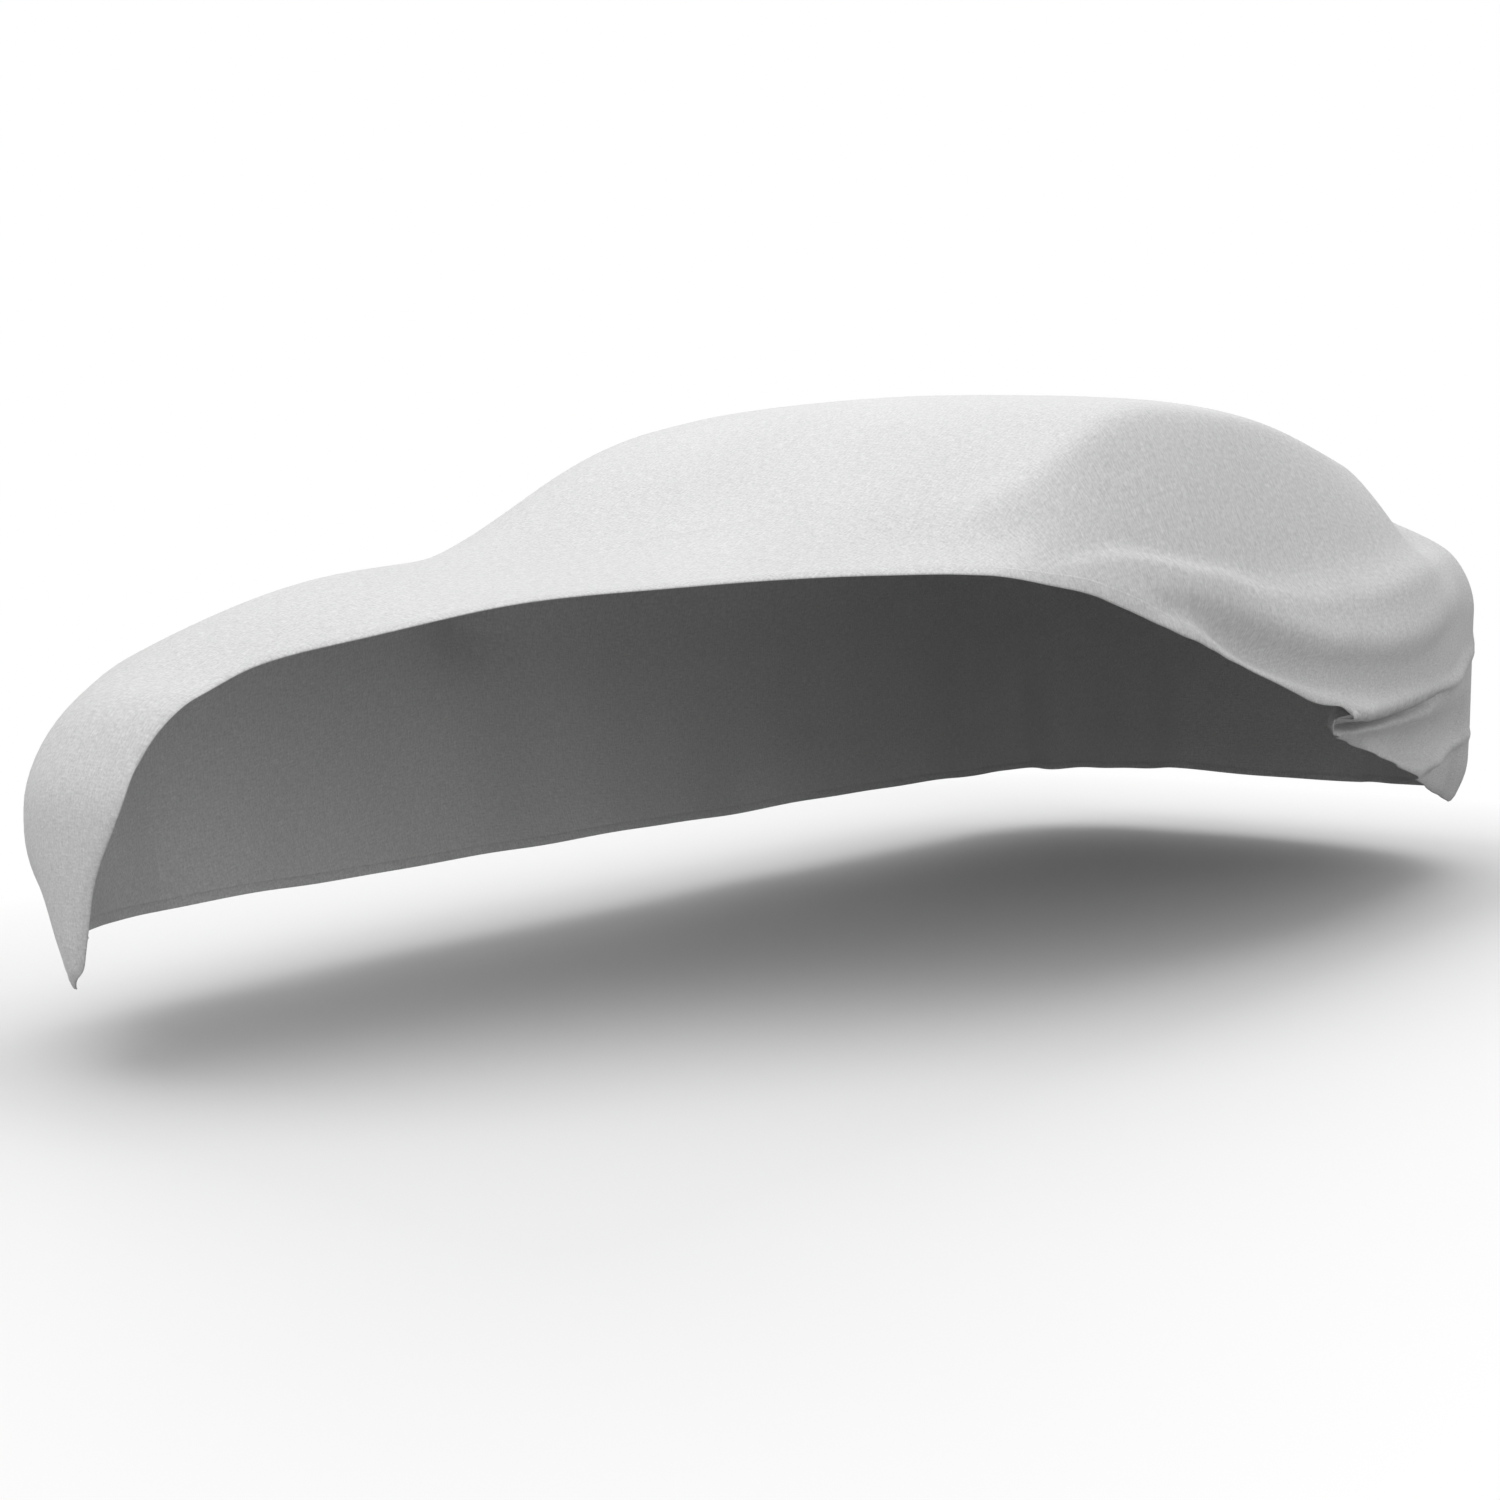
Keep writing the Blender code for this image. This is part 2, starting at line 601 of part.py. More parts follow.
def sheet_pattern(cells_along, cells_across):
    """Pattern points of the whole sheet: a grid stretched between its four hems."""
    along_share = np.linspace(0, 1, cells_along + 1)
    even = np.linspace(0, 1, cells_across + 1)
    across_share = (1 - LEFT_CROWDING) * even + LEFT_CROWDING * (1 - (1 - even) ** 2)
    right = right_hem(along_share)[:, None]
    left = left_hem(along_share)[:, None]
    front = front_hem(across_share)[None, :]
    rear = rear_hem(across_share)[None, :]
    down = along_share[:, None, None]
    over = across_share[None, :, None]
    sides = (1 - over) * right + over * left
    ends = (1 - down) * front + down * rear
    corners_front = (1 - over) * right[:1] + over * left[:1]
    corners_rear = (1 - over) * right[-1:] + over * left[-1:]
    return sides + ends - (1 - down) * corners_front - down * corners_rear


def build_sheet(cells_along, cells_across):
    """Vertices and triangles of the sheet's outer face.

    Each cell is split along the diagonal whose middle lies nearer to the cloth, so that a
    fold that crosses the grid keeps a clean crest.
    """
    pattern = sheet_pattern(cells_along, cells_across)
    from_left_hem = np.linalg.norm(pattern - pattern[:, -1:], axis=-1)
    points = cloth_points(pattern[..., 0], pattern[..., 1], from_left_hem)
    middle = cell_middles(pattern)
    true_middle = cloth_points(middle[..., 0], middle[..., 1], cell_middles(from_left_hem))
    falling = (points[:-1, :-1] + points[1:, 1:]) / 2 - true_middle
    rising = (points[1:, :-1] + points[:-1, 1:]) / 2 - true_middle
    use_falling = np.linalg.norm(falling, axis=-1) < np.linalg.norm(rising, axis=-1)

    index = np.arange(points.shape[0] * points.shape[1]).reshape(points.shape[:2])
    here, right = index[:-1, :-1], index[:-1, 1:]
    ahead, across = index[1:, :-1], index[1:, 1:]
    split_falling = np.stack([here, right, across, here, across, ahead], axis=-1)
    split_rising = np.stack([here, right, ahead, right, across, ahead], axis=-1)
    triangles = np.where(use_falling[..., None], split_falling, split_rising)
    return points.reshape(-1, 3), triangles.reshape(-1, 3)


def cell_middles(grid):
    """Mean of each cell's four corners."""
    return (grid[:-1, :-1] + grid[1:, :-1] + grid[:-1, 1:] + grid[1:, 1:]) / 4


# --- scene -------------------------------------------------------------------------------


def clear_scene():
    """Removes whatever the startup scene holds."""
    for old in list(bpy.data.objects):
        bpy.data.objects.remove(old, do_unlink=True)


def cloth_material():
    """Matt light grey cloth."""
    material = bpy.data.materials.new("cover_cloth")
    material.use_nodes = True
    shader = material.node_tree.nodes["Principled BSDF"]
    shader.inputs["Base Color"].default_value = CLOTH_COLOUR
    shader.inputs["Roughness"].default_value = CLOTH_ROUGHNESS
    shader.inputs["Metallic"].default_value = 0.0
    return material


def build_cover():
    """The cover: one sheet with a real thickness, hung from its place on the crown."""
    points, triangles = build_sheet(CELLS_ALONG, CELLS_ACROSS)
    mesh = bpy.data.meshes.new("cover")
    mesh.from_pydata(points.tolist(), [], triangles.tolist())
    mesh.materials.append(cloth_material())
    mesh.shade_smooth()
    cover = bpy.data.objects.new("cover", mesh)
    wall = cover.modifiers.new("cloth_thickness", "SOLIDIFY")
    wall.thickness = CLOTH_THICKNESS
    wall.offset = -1.0
    crown = cloth_points(np.zeros(1), np.array([HELD_ALONG]), np.ones(1))[0]
    cover.location = (0.0, -crown[1], CLOTH_THICKNESS - crown[2])
    collection = bpy.data.collections.new("car_cover")
    bpy.context.scene.collection.children.link(collection)
    collection.objects.link(cover)
    return cover


def main():
    """Builds the part."""
    clear_scene()
    build_cover()


if __name__ == "__main__":
    main()
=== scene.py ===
"""Looks of a light grey fitted car cover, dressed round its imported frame.

The cover is one cloth. A point of it is named by its place in the flat pattern, across (to
the cover's left) and along (to its tail), which are the last axis of an array of pattern
points. The classes turn the pattern into the hanging shape, cut it at its hems, turn and
stitch the hem, and give the cloth its weave. Shapes are worked out in metres in a standing
frame, whose floor is at height 0, and shifted into the row frame as the last step.
"""

import logging
import math
from dataclasses import dataclass, field
from enum import Enum
from functools import reduce
from typing import Callable

import bpy
import numpy as np
from numpy.typing import NDArray
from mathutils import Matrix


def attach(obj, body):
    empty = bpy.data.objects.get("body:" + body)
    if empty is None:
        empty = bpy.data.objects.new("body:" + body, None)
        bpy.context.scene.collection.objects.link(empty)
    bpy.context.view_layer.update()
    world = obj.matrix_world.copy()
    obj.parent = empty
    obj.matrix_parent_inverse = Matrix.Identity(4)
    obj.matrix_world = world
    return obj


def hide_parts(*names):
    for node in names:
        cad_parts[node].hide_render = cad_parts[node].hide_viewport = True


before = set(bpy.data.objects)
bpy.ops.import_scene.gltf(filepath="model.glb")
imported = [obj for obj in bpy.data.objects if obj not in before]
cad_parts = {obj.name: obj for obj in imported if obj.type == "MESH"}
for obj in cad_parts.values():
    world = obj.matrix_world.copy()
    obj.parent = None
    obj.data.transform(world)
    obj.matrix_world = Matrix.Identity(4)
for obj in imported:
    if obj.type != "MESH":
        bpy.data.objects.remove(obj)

Array = NDArray[np.float64]
Faces = NDArray[np.int64]
Material = bpy.types.Material
Object = bpy.types.Object
Node = bpy.types.Node
Socket = bpy.types.NodeSocket
Feeds = dict[str | int, object]
Triple = tuple[float, float, float]
Pair = tuple[float, float]
Place = tuple[Array | float, Array | float]
log = logging.getLogger("car_cover")

TURN = 2 * math.pi
QUARTER = math.pi / 2
SMALL = 1e-9
PINCH_PEAK = math.sqrt(2.0 * math.e)
MILLIMETRES = 1000
BLOCKS = 32
NOISE_SPAN = (0.3, 0.7)


# --- curves and tables ---


def ease(share: Array) -> Array:
    """Goes from 0 to 1 with a level start and end: 3s^2 - 2s^3 on the clipped share."""
    share = np.clip(share, 0.0, 1.0)
    return share * share * (3.0 - 2.0 * share)


def eased_between(start: float, end: float, at: Array) -> Array:
    """0 at start and 1 at end, eased between them; end may lie on either side of start."""
    return ease((at - start) / (end - start))


def bell(distance: Array) -> Array:
    """A bell-shaped rise of 1 that fades within about two units: exp(-d^2)."""
    return np.exp(-(distance**2))


def rounded_lower(first: Array, second: Array, blend: float) -> Array:
    """The lower value, its corner rounded: the mean less half the root of gap^2 + blend^2."""
    return 0.5 * (first + second - np.sqrt((first - second) ** 2 + blend**2))


def unit(vectors: Array) -> Array:
    """The vectors scaled to length 1."""
    return vectors / np.maximum(np.linalg.norm(vectors, axis=-1, keepdims=True), SMALL)


def batten(places: Array, values: Array, at: Array) -> Array:
    """Bends a springy batten through points, as a natural cubic spline.

    On each gap it is the straight line plus, for each end, the bend times (share^3 - share)
    times gap^2 / 6.

    Args:
        places: Rising places of the points.
        values: Heights at those places.
        at: Places to read, held inside the first and the last point.

    Returns:
        The heights there.
    """
    gaps = np.diff(places)
    slopes = np.diff(values) / gaps
    system = np.eye(len(places))
    load = np.zeros(len(places))
    inner = np.arange(1, len(places) - 1)
    system[inner, inner - 1] = gaps[:-1]
    system[inner, inner] = 2.0 * (gaps[:-1] + gaps[1:])
    system[inner, inner + 1] = gaps[1:]
    load[inner] = 6.0 * np.diff(slopes)
    bend = np.linalg.solve(system, load)
    at = np.clip(at, places[0], places[-1])
    left = np.clip(np.searchsorted(places, at) - 1, 0, len(gaps) - 1)
    gap = gaps[left]
    to_right = (at - places[left]) / gap
    to_left = 1.0 - to_right
    straight = to_left * values[left] + to_right * values[left + 1]
    curve = (to_left**3 - to_left) * bend[left] + (to_right**3 - to_right) * bend[left + 1]
    return straight + curve * gap**2 / 6.0


def eased_steps(places: Array, values: Array, at: Array) -> Array:
    """Goes from point to point, level at each one, so that it never overshoots.

    Args:
        places: Rising places of the points.
        values: Values at those places.
        at: Places to read.

    Returns:
        The values there.
    """
    left = np.clip(np.searchsorted(places, at) - 1, 0, len(places) - 2)
    share = ease((at - places[left]) / (places[left + 1] - places[left]))
    return values[left] + (values[left + 1] - values[left]) * share


def table(kind: type, *lines: tuple) -> tuple:
    """Makes a row of the given kind from each line, whose entries are its fields in order."""
    return tuple(kind(*line) for line in lines)


def measured(kind: type, *lines: tuple[float, ...]) -> tuple:
    """Makes a table whose lines are in millimetres."""
    return table(kind, *(tuple(number / MILLIMETRES for number in line) for line in lines))


def column(rows: tuple, name: str) -> Array:
    """One named column of a table."""
    return np.array([getattr(row, name) for row in rows])


# --- folds and swells ---


@dataclass(frozen=True)
class Swell:
    """A soft rounded rise, or a hollow where the rise is below zero, at a pattern place."""

    across: float
    along: float
    reach_across: float
    reach_along: float
    rise: float

    def rises(self, across: Array, along: Array) -> Array:
        """The rise times a bell of each scaled distance."""
        aside = (across - self.across) / self.reach_across
        ahead = (along - self.along) / self.reach_along
        return self.rise * bell(aside) * bell(ahead)


@dataclass(frozen=True)
class CreaseRow:
    """One station of a crease: its line, how far the cloth steps out there, and how softly."""

    along: float
    across: float
    out: float
    width: float
    pinch: float = 0.0


@dataclass(frozen=True)
class Crease:
    """A line along which the wall steps out, or in where out is below zero."""

    rows: tuple[CreaseRow, ...]

    def rises_and_slides(self, across: Array, along: Array) -> tuple[Array, Array]:
        """Works out how far the cloth steps out past the crease and slides towards it.

        The line is a batten through the rows, and u is the distance past it over the width.
        The step is out (1 + tanh u) / 2, and the slide is pinch times u exp(-u^2) over its
        peak, which undercuts the step.

        Args:
            across: Pattern places across.
            along: Pattern places along.

        Returns:
            The rise square to the cloth and the slide towards the hem.
        """
        place = column(self.rows, "along")
        line = batten(place, column(self.rows, "across"), along)
        out, width, pinch = (
            eased_steps(place, column(self.rows, name), along) for name in ("out", "width", "pinch")
        )
        u = (across - line) / width
        return out * 0.5 * (1.0 + np.tanh(u)), -pinch * PINCH_PEAK * u * bell(u)


def crease(*lines: tuple[float, ...]) -> Crease:
    """Makes a crease from lines of along, across, out, width and, where it has one, pinch."""
    return Crease(measured(CreaseRow, *lines))


@dataclass(frozen=True)
class Flute:
    """One of the waves that add up to the flutes: its length along the hem and its depth."""

    length: float
    depth: float
    start: float


# Loose air under the top, which lifts the cloth straight up: across, along, reach across,
# reach along and rise. These tables are in millimetres.
PUFFS = measured(
    Swell,
    (-580, -1635, 400, 700, 86),
    (-620, -750, 355, 375, 113),
)

# Rises and hollows square to the cloth, in the same columns.
SWELLS = measured(
    Swell,
    (-1020, -740, 130, 150, 85),
    (700, -780, 80, 110, -18),
    (740, -360, 220, 130, -14),
    (800, -20, 200, 150, 10),
    (800, 490, 160, 260, -16),
    (800, 1300, 140, 100, 6),
    (820, 1550, 140, 100, -20),
    (460, -20, 250, 120, -7),
    (620, 1950, 220, 200, 12),
    (-400, -3000, 160, 160, 35),
    (790, 1780, 90, 220, 14),
    (-970, -2800, 260, 100, -45),
    (-860, -2580, 200, 100, 9),
    (-250, -2400, 260, 90, 20),
    (-740, -2300, 160, 120, -8),
    (1550, 2050, 80, 120, 12),
    (675, -670, 60, 100, 18),
    (560, -860, 100, 100, -14),
)

# Creases of the drawn-up left side, from the belt down: along, across, out, width, pinch.
CREASES = {
    "belt": crease(
        (-750, 842, 0, 8),
        (-550, 858, 10, 8),
        (-400, 870, 20, 8),
        (-280, 884, 24, 7),
        (-170, 897, 26, 7),
        (-60, 906, 26, 7),
        (80, 915, 28, 8),
        (250, 932, 32, 11),
        (450, 944, 46, 23),
        (740, 950, 58, 32),
        (1000, 944, 58, 32),
        (1250, 928, 52, 32),
        (1550, 900, 38, 34),
        (1800, 865, 18, 36),
        (2020, 830, 0, 36),
    ),
    "wrinkle": crease(
        (200, 940, 0, 6),
        (400, 962, -4, 6),
        (750, 984, -6, 7),
        (1100, 980, -5, 7),
        (1450, 958, -3, 8),
        (1750, 920, 0, 8),
    ),
    "mid_rise": crease(
        (-50, 935, 0, 20),
        (150, 950, 10, 22),
        (350, 985, 18, 24),
        (600, 1012, 22, 26),
        (900, 1035, 22, 28),
        (1200, 1030, 20, 28),
        (1500, 1000, 12, 28),
        (1800, 960, 0, 28),
    ),
    "sling": crease(
        (-420, 922, 0, 11),
        (-220, 938, -20, 11),
        (-100, 952, -42, 13),
        (0, 968, -63, 16),
        (100, 983, -74, 19),
        (200, 1000, -74, 22),
        (360, 1026, -60, 25),
        (560, 1060, -42, 28),
        (800, 1096, -34, 31),
        (1050, 1116, -32, 33),
        (1260, 1106, -26, 34),
        (1460, 1078, -14, 32),
        (1620, 1050, -6, 32),
        (1800, 1020, 0, 32),
    ),
    "flare": crease(
        (-450, 950, 0, 9),
        (-250, 962, 16, 9),
        (-100, 984, 36, 10),
        (0, 1006, 51, 12),
        (80, 1026, 60, 14),
        (250, 1074, 66, 18),
        (450, 1138, 60, 23),
        (650, 1184, 56, 26),
        (850, 1224, 54, 27),
        (1100, 1244, 52, 27),
        (1350, 1254, 46, 24),
        (1600, 1242, 36, 14),
        (1780, 1192, 26, 12),
        (1900, 1150, 14, 12),
        (2000, 1100, 0, 14),
    ),
    "elbow": crease(
        (550, 1208, 0, 9),
        (610, 1218, 18, 10),
        (690, 1227, 20, 12),
        (820, 1237, 0, 12),
    ),
    "deep_tuck": crease(
        (550, 1236, 0, 6),
        (610, 1240, -76, 6, 8),
        (680, 1243, -130, 7, 18),
        (760, 1247, -156, 8, 26),
        (870, 1254, -166, 8, 30),
        (1000, 1259, -166, 9, 30),
        (1110, 1261, -156, 9, 28),
        (1230, 1263, -130, 9, 22),
        (1400, 1272, -84, 14, 12),
        (1600, 1275, -50, 30, 2),
        (1760, 1235, -34, 34),
        (1880, 1190, -20, 34),
        (2000, 1130, 0, 34),
    ),
    "slot_return": crease(
        (560, 1264, 0, 6),
        (630, 1274, 14, 7),
        (720, 1286, 44, 8),
        (850, 1300, 90, 10),
        (1000, 1306, 104, 11),
        (1150, 1308, 90, 11),
        (1300, 1306, 58, 11),
        (1450, 1298, 25, 12),
        (1550, 1290, 6, 12),
        (1700, 1280, 0, 12),
    ),
    "lower_slope": crease(
        (620, 1305, 0, 20),
        (780, 1315, -40, 22),
        (950, 1332, -74, 28),
        (1200, 1350, -94, 38),
        (1450, 1375, -86, 46),
        (1750, 1370, -50, 46),
        (2000, 1340, 0, 46),
    ),
    "tail_flare": crease(
        (950, 1370, 0, 14),
        (1080, 1405, 26, 14),
        (1220, 1446, 46, 14),
        (1400, 1490, 58, 15),
        (1560, 1500, 56, 15),
        (1740, 1486, 42, 15),
        (1920, 1448, 20, 15),
        (2060, 1400, 0, 16),
    ),
    "tail_pocket": crease(
        (1400, 1560, 0, 12),
        (1520, 1548, -28, 12),
        (1660, 1528, -38, 13),
        (1820, 1498, -34, 15),
        (1960, 1465, -14, 18),
        (2080, 1430, 0, 18),
    ),
}

# Waves of the flutes: length, depth and start.
FLUTES = measured(
    Flute,
    (1370, 9, 350),
    (790, 9, 100),
    (460, 5, 200),
)


# --- the hanging form ---


@dataclass(frozen=True)
class Station:
    """Heights of the cloth at one place along it: on the centre line and at the shoulder."""

    along: float
    crown: float
    shoulder: float


# Stations from the nose to the tail, in millimetres: along, crown and shoulder.
STATIONS = measured(
    Station,
    (-2470, 720, 655),
    (-2200, 841, 725),
    (-1800, 958, 791),
    (-1400, 1001, 868),
    (-1050, 1085, 934),
    (-650, 1267, 983),
    (-250, 1452, 1004),
    (150, 1498, 1017),
    (600, 1493, 1041),
    (1050, 1417, 1058),
    (1450, 1314, 1058),
    (1800, 1186, 1045),
    (2100, 1122, 1021),
    (2460, 1077, 967),
)


@dataclass(frozen=True)
class TopSurface:
    """The height field that the top of the cover follows: low decks and a raised middle."""

    half_width: float = 0.96
    crown_share_left: float = 0.755
    crown_share_right: float = 0.695
    crown_left_to_right: Pair = (0.30, -0.30)
    side_foot_share: float = 0.961
    crown_fall: float = 0.08
    crown_to_side_blend: float = 0.155
    middle_along: float = 0.35
    middle_bow: float = 0.10
    middle_rises: Pair = (-1.25, -0.45)
    middle_falls: Pair = (2.10, 1.30)
    bow_fades: Pair = (2.6, 1.6)
    deck_roundness: float = 2.4

    def height(self, x: Array, y: Array) -> Array:
        """Works out the height of the top over plan points.

        Shoulder and crown are battens along the cover. Between them the section is a share:
        over the raised middle the lower of a gently falling crown and a straight side, with
        the corner rounded, and over the decks 1 less a power of the share of the width.

        Args:
            x: Places to the left of the centre line.
            y: Places along the cover.

        Returns:
            Heights above the floor.
        """
        share = np.abs(x) / self.half_width
        from_middle = y - self.middle_along
        near_middle = eased_between(*self.bow_fades, np.abs(from_middle))
        bow = 1.0 + self.middle_bow * share**2 * near_middle
        along = column(STATIONS, "along")
        bowed = np.clip(self.middle_along + from_middle * bow, along[0], along[-1])
        crown = batten(along, column(STATIONS, "crown"), bowed)
        shoulder = batten(along, column(STATIONS, "shoulder"), y)
        rising, falling = (eased_between(*e, bowed) for e in (self.middle_rises, self.middle_falls))
        raised = rising * falling
        wider = self.crown_share_right - self.crown_share_left
        crown_share = self.crown_share_left + wider * eased_between(*self.crown_left_to_right, x)
        roof = 1.0 - self.crown_fall * (share / crown_share) ** 2
        side = (self.side_foot_share - share) / (self.side_foot_share - crown_share)
        side_line = side * (1.0 - self.crown_fall)
        raised_section = rounded_lower(roof, side_line, self.crown_to_side_blend)
        deck_section = 1.0 - share**self.deck_roundness
        section = raised * raised_section + (1.0 - raised) * deck_section
        lift = sum(puff.rises(x, y) for puff in PUFFS)
        return shoulder + (crown - shoulder) * section + lift


@dataclass(frozen=True)
class HangingForm:
    """How the flat pattern hangs: over the top, round the shoulder and down the wall."""

    top: TopSurface = field(default_factory=TopSurface)
    nose_along: float = -2.525
    tail_along: float = 2.405
    corner_radius: float = 0.57
    shoulder_radius: float = 0.18
    nose_bow: float = 0.095
    tail_bow: float = 0.10
    nose_taper: float = 0.037
    tail_taper: float = 0.053
    nose_shaping: Pair = (-0.9, -2.4)
    tail_shaping: Pair = (1.0, 2.4)
    tuck_height: float = 0.50
    tuck_reach: float = 0.30
    tuck_depth: float = 0.069
    hem_radius: float = 1.25
    flutes_fade_in: float = 0.55
    flutes_end_left: Pair = (0.90, 0.40)
    flutes_end_nose: Pair = (-0.55, -1.00)
    corner_flute_gain: float = 0.7
    held_along: float = 0.30
    cloth_thickness: float = 0.002
    probe: float = 0.001

    @property
    def core_across(self) -> float:
        """Half width of the straight-sided core inside the rounded corners."""
        return self.top.half_width - self.corner_radius

    @property
    def core_front(self) -> float:
        """Front end of that core."""
        return self.nose_along + self.corner_radius

    @property
    def core_rear(self) -> float:
        """Rear end of that core."""
        return self.tail_along - self.corner_radius

    @property
    def turn_start(self) -> float:
        """Pattern distance from the core at which the shoulder starts to turn down."""
        return self.corner_radius - self.shoulder_radius

    @property
    def turn_end(self) -> float:
        """Pattern distance from the core at which the shoulder has turned to the wall."""
        return self.turn_start + self.shoulder_radius * QUARTER

    def past_core(self, flat: Array) -> tuple[Array, Array, Array, Array]:
        """Finds the core point nearest to each pattern point.

        Args:
            flat: Pattern points.

        Returns:
            That point's x and y, and the way from it, across and along.
        """
        across, along = flat[..., 0], flat[..., 1]
        core_x = np.clip(across, -self.core_across, self.core_across)
        core_y = np.clip(along, self.core_front, self.core_rear)
        return core_x, core_y, across - core_x, along - core_y

    def hang(self, flat: Array) -> Array:
        """Hangs pattern points, before any fold.

        Up to the turn a point keeps its plan place. Round the shoulder it goes out by the
        sine and down by 1 less the cosine, and then straight down. Low on the wall it is
        drawn in by the square of its depth below the tuck, and the ends bow and taper.

        Args:
            flat: Pattern points.

        Returns:
            Points in the standing frame.
        """
        core_x, core_y, way_x, way_y = self.past_core(flat)
        out = np.hypot(way_x, way_y) + SMALL
        out_x, out_y = way_x / out, way_y / out
        turn = np.clip((out - self.turn_start) / self.shoulder_radius, 0.0, QUARTER)
        turned = self.turn_start + self.shoulder_radius * np.sin(turn)
        reach = np.where(out < self.turn_start, out, turned)
        down = np.clip(out - self.turn_end, 0.0, None)
        fall = self.shoulder_radius * (1.0 - np.cos(turn)) + down
        x, y = core_x + out_x * reach, core_y + out_y * reach
        z = self.top.height(x, y) - fall
        low = np.clip((self.tuck_height - z) / self.tuck_reach, 0.0, None)
        drawn_in = self.tuck_depth * low**2 * turn / QUARTER
        x, y = x - out_x * drawn_in, y - out_y * drawn_in
        nose, tail = eased_between(*self.nose_shaping, y), eased_between(*self.tail_shaping, y)
        bow = (x / self.top.half_width) ** 2
        y = y + self.nose_bow * bow * nose - self.tail_bow * bow * tail
        x = x * (1.0 - self.nose_taper * nose - self.tail_taper * tail)
        return np.stack([x, y, z], axis=-1)

    def frame_at(self, shape: Callable[[Array], Array], flat: Array) -> tuple[Array, Array]:
        """Finds the cloth's directions by central differences.

        Args:
            shape: A function from pattern points to hung points.
            flat: Pattern points.

        Returns:
            The outward normals and the ways leftward, as unit vectors.
        """
        aside, ahead = np.eye(2) * self.probe
        leftward = shape(flat + aside) - shape(flat - aside)
        tailward = shape(flat + ahead) - shape(flat - ahead)
        return unit(np.cross(leftward, tailward)), unit(leftward)

    def flute_rise(self, flat: Array) -> Array:
        """Adds up the flutes of the loose lower wall, as sine waves counted along the hem.

        Args:
            flat: Pattern points.

        Returns:
            The rise: none on the top and on the drawn-up left side, and more at the corners.
        """
        core_x, core_y, way_x, way_y = self.past_core(flat)
        past = np.hypot(way_x, way_y)
        turn = np.arctan2(way_x, way_y + SMALL)
        on_nose = flat[..., 1] < self.core_front
        turn = np.where(on_nose & (turn > 0.0), turn - TURN, turn)
        over = np.where(on_nose, -2.0 * self.core_across - core_x, core_x)
        walk = core_y + over + self.hem_radius * turn
        wave = sum(f.depth * np.sin(TURN * (walk - f.start) / f.length) for f in FLUTES)
        loose = ease((past - self.turn_end) / self.flutes_fade_in)
        gain = 1.0 + self.corner_flute_gain * np.sin(2.0 * turn) ** 2
        rear_end = eased_between(*self.flutes_end_left, flat[..., 0])
        nose_end = eased_between(*self.flutes_end_nose, flat[..., 0])
        return wave * loose * gain * np.where(on_nose, nose_end, rear_end)

    def folded(self, flat: Array) -> Array:
        """Moves the hanging points out by the sum of the rises and down by that of the slides.

        Args:
            flat: Pattern points.

        Returns:
            Points of the cloth's outer face.
        """
        across, along = flat[..., 0], flat[..., 1]
        rise = self.flute_rise(flat) + sum(swell.rises(across, along) for swell in SWELLS)
        slide = np.zeros_like(rise)
        for fold in CREASES.values():
            step, slip = fold.rises_and_slides(across, along)
            rise, slide = rise + step, slide + slip
        normal, leftward = self.frame_at(self.hang, flat)
        return self.hang(flat) + normal * rise[..., None] + leftward * slide[..., None]

    def to_row(self) -> Array:
        """The shift into the row frame, whose origin is the underside of the crown."""
        crown = self.folded(np.array([[0.0, self.held_along]]))[0]
        return np.array([0.0, -crown[1], self.cloth_thickness - crown[2]])


# --- the cut ---


@dataclass(frozen=True)
class HemPoint:
    """A point of the drawn-up left hem in the flat pattern."""

    along: float
    across: float


# The hem climbs the nose beside the centre line, crosses the front deck to the foot of the
# left side, and slants down the wall to the tail. In millimetres: along and across.
LEFT_HEM = measured(
    HemPoint,
    (-2950, -394),
    (-2910, -347),
    (-2850, -318),
    (-2745, -270),
    (-2660, -213),
    (-2580, -168),
    (-2490, -162),
    (-2400, -140),
    (-2310, -150),
    (-2215, -146),
    (-2050, -8),
    (-1800, 118),
    (-1500, 180),
    (-1300, 310),
    (-1100, 530),
    (-900, 770),
    (-650, 896),
    (-400, 954),
    (0, 1024),
    (220, 1088),
    (360, 1146),
    (460, 1176),
    (530, 1188),
    (575, 1208),
    (615, 1252),
    (660, 1288),
    (730, 1312),
    (820, 1338),
    (1020, 1399),
    (1350, 1518),
    (1550, 1590),
    (1780, 1655),
    (1970, 1672),
    (2170, 1630),
    (2400, 1520),
)


class Edge(Enum):
    """The four hems of the cut, which meet at the tip and at the middles of three corners."""

    RIGHT = "right"
    REAR = "rear"
    FRONT = "front"
    LEFT = "left"


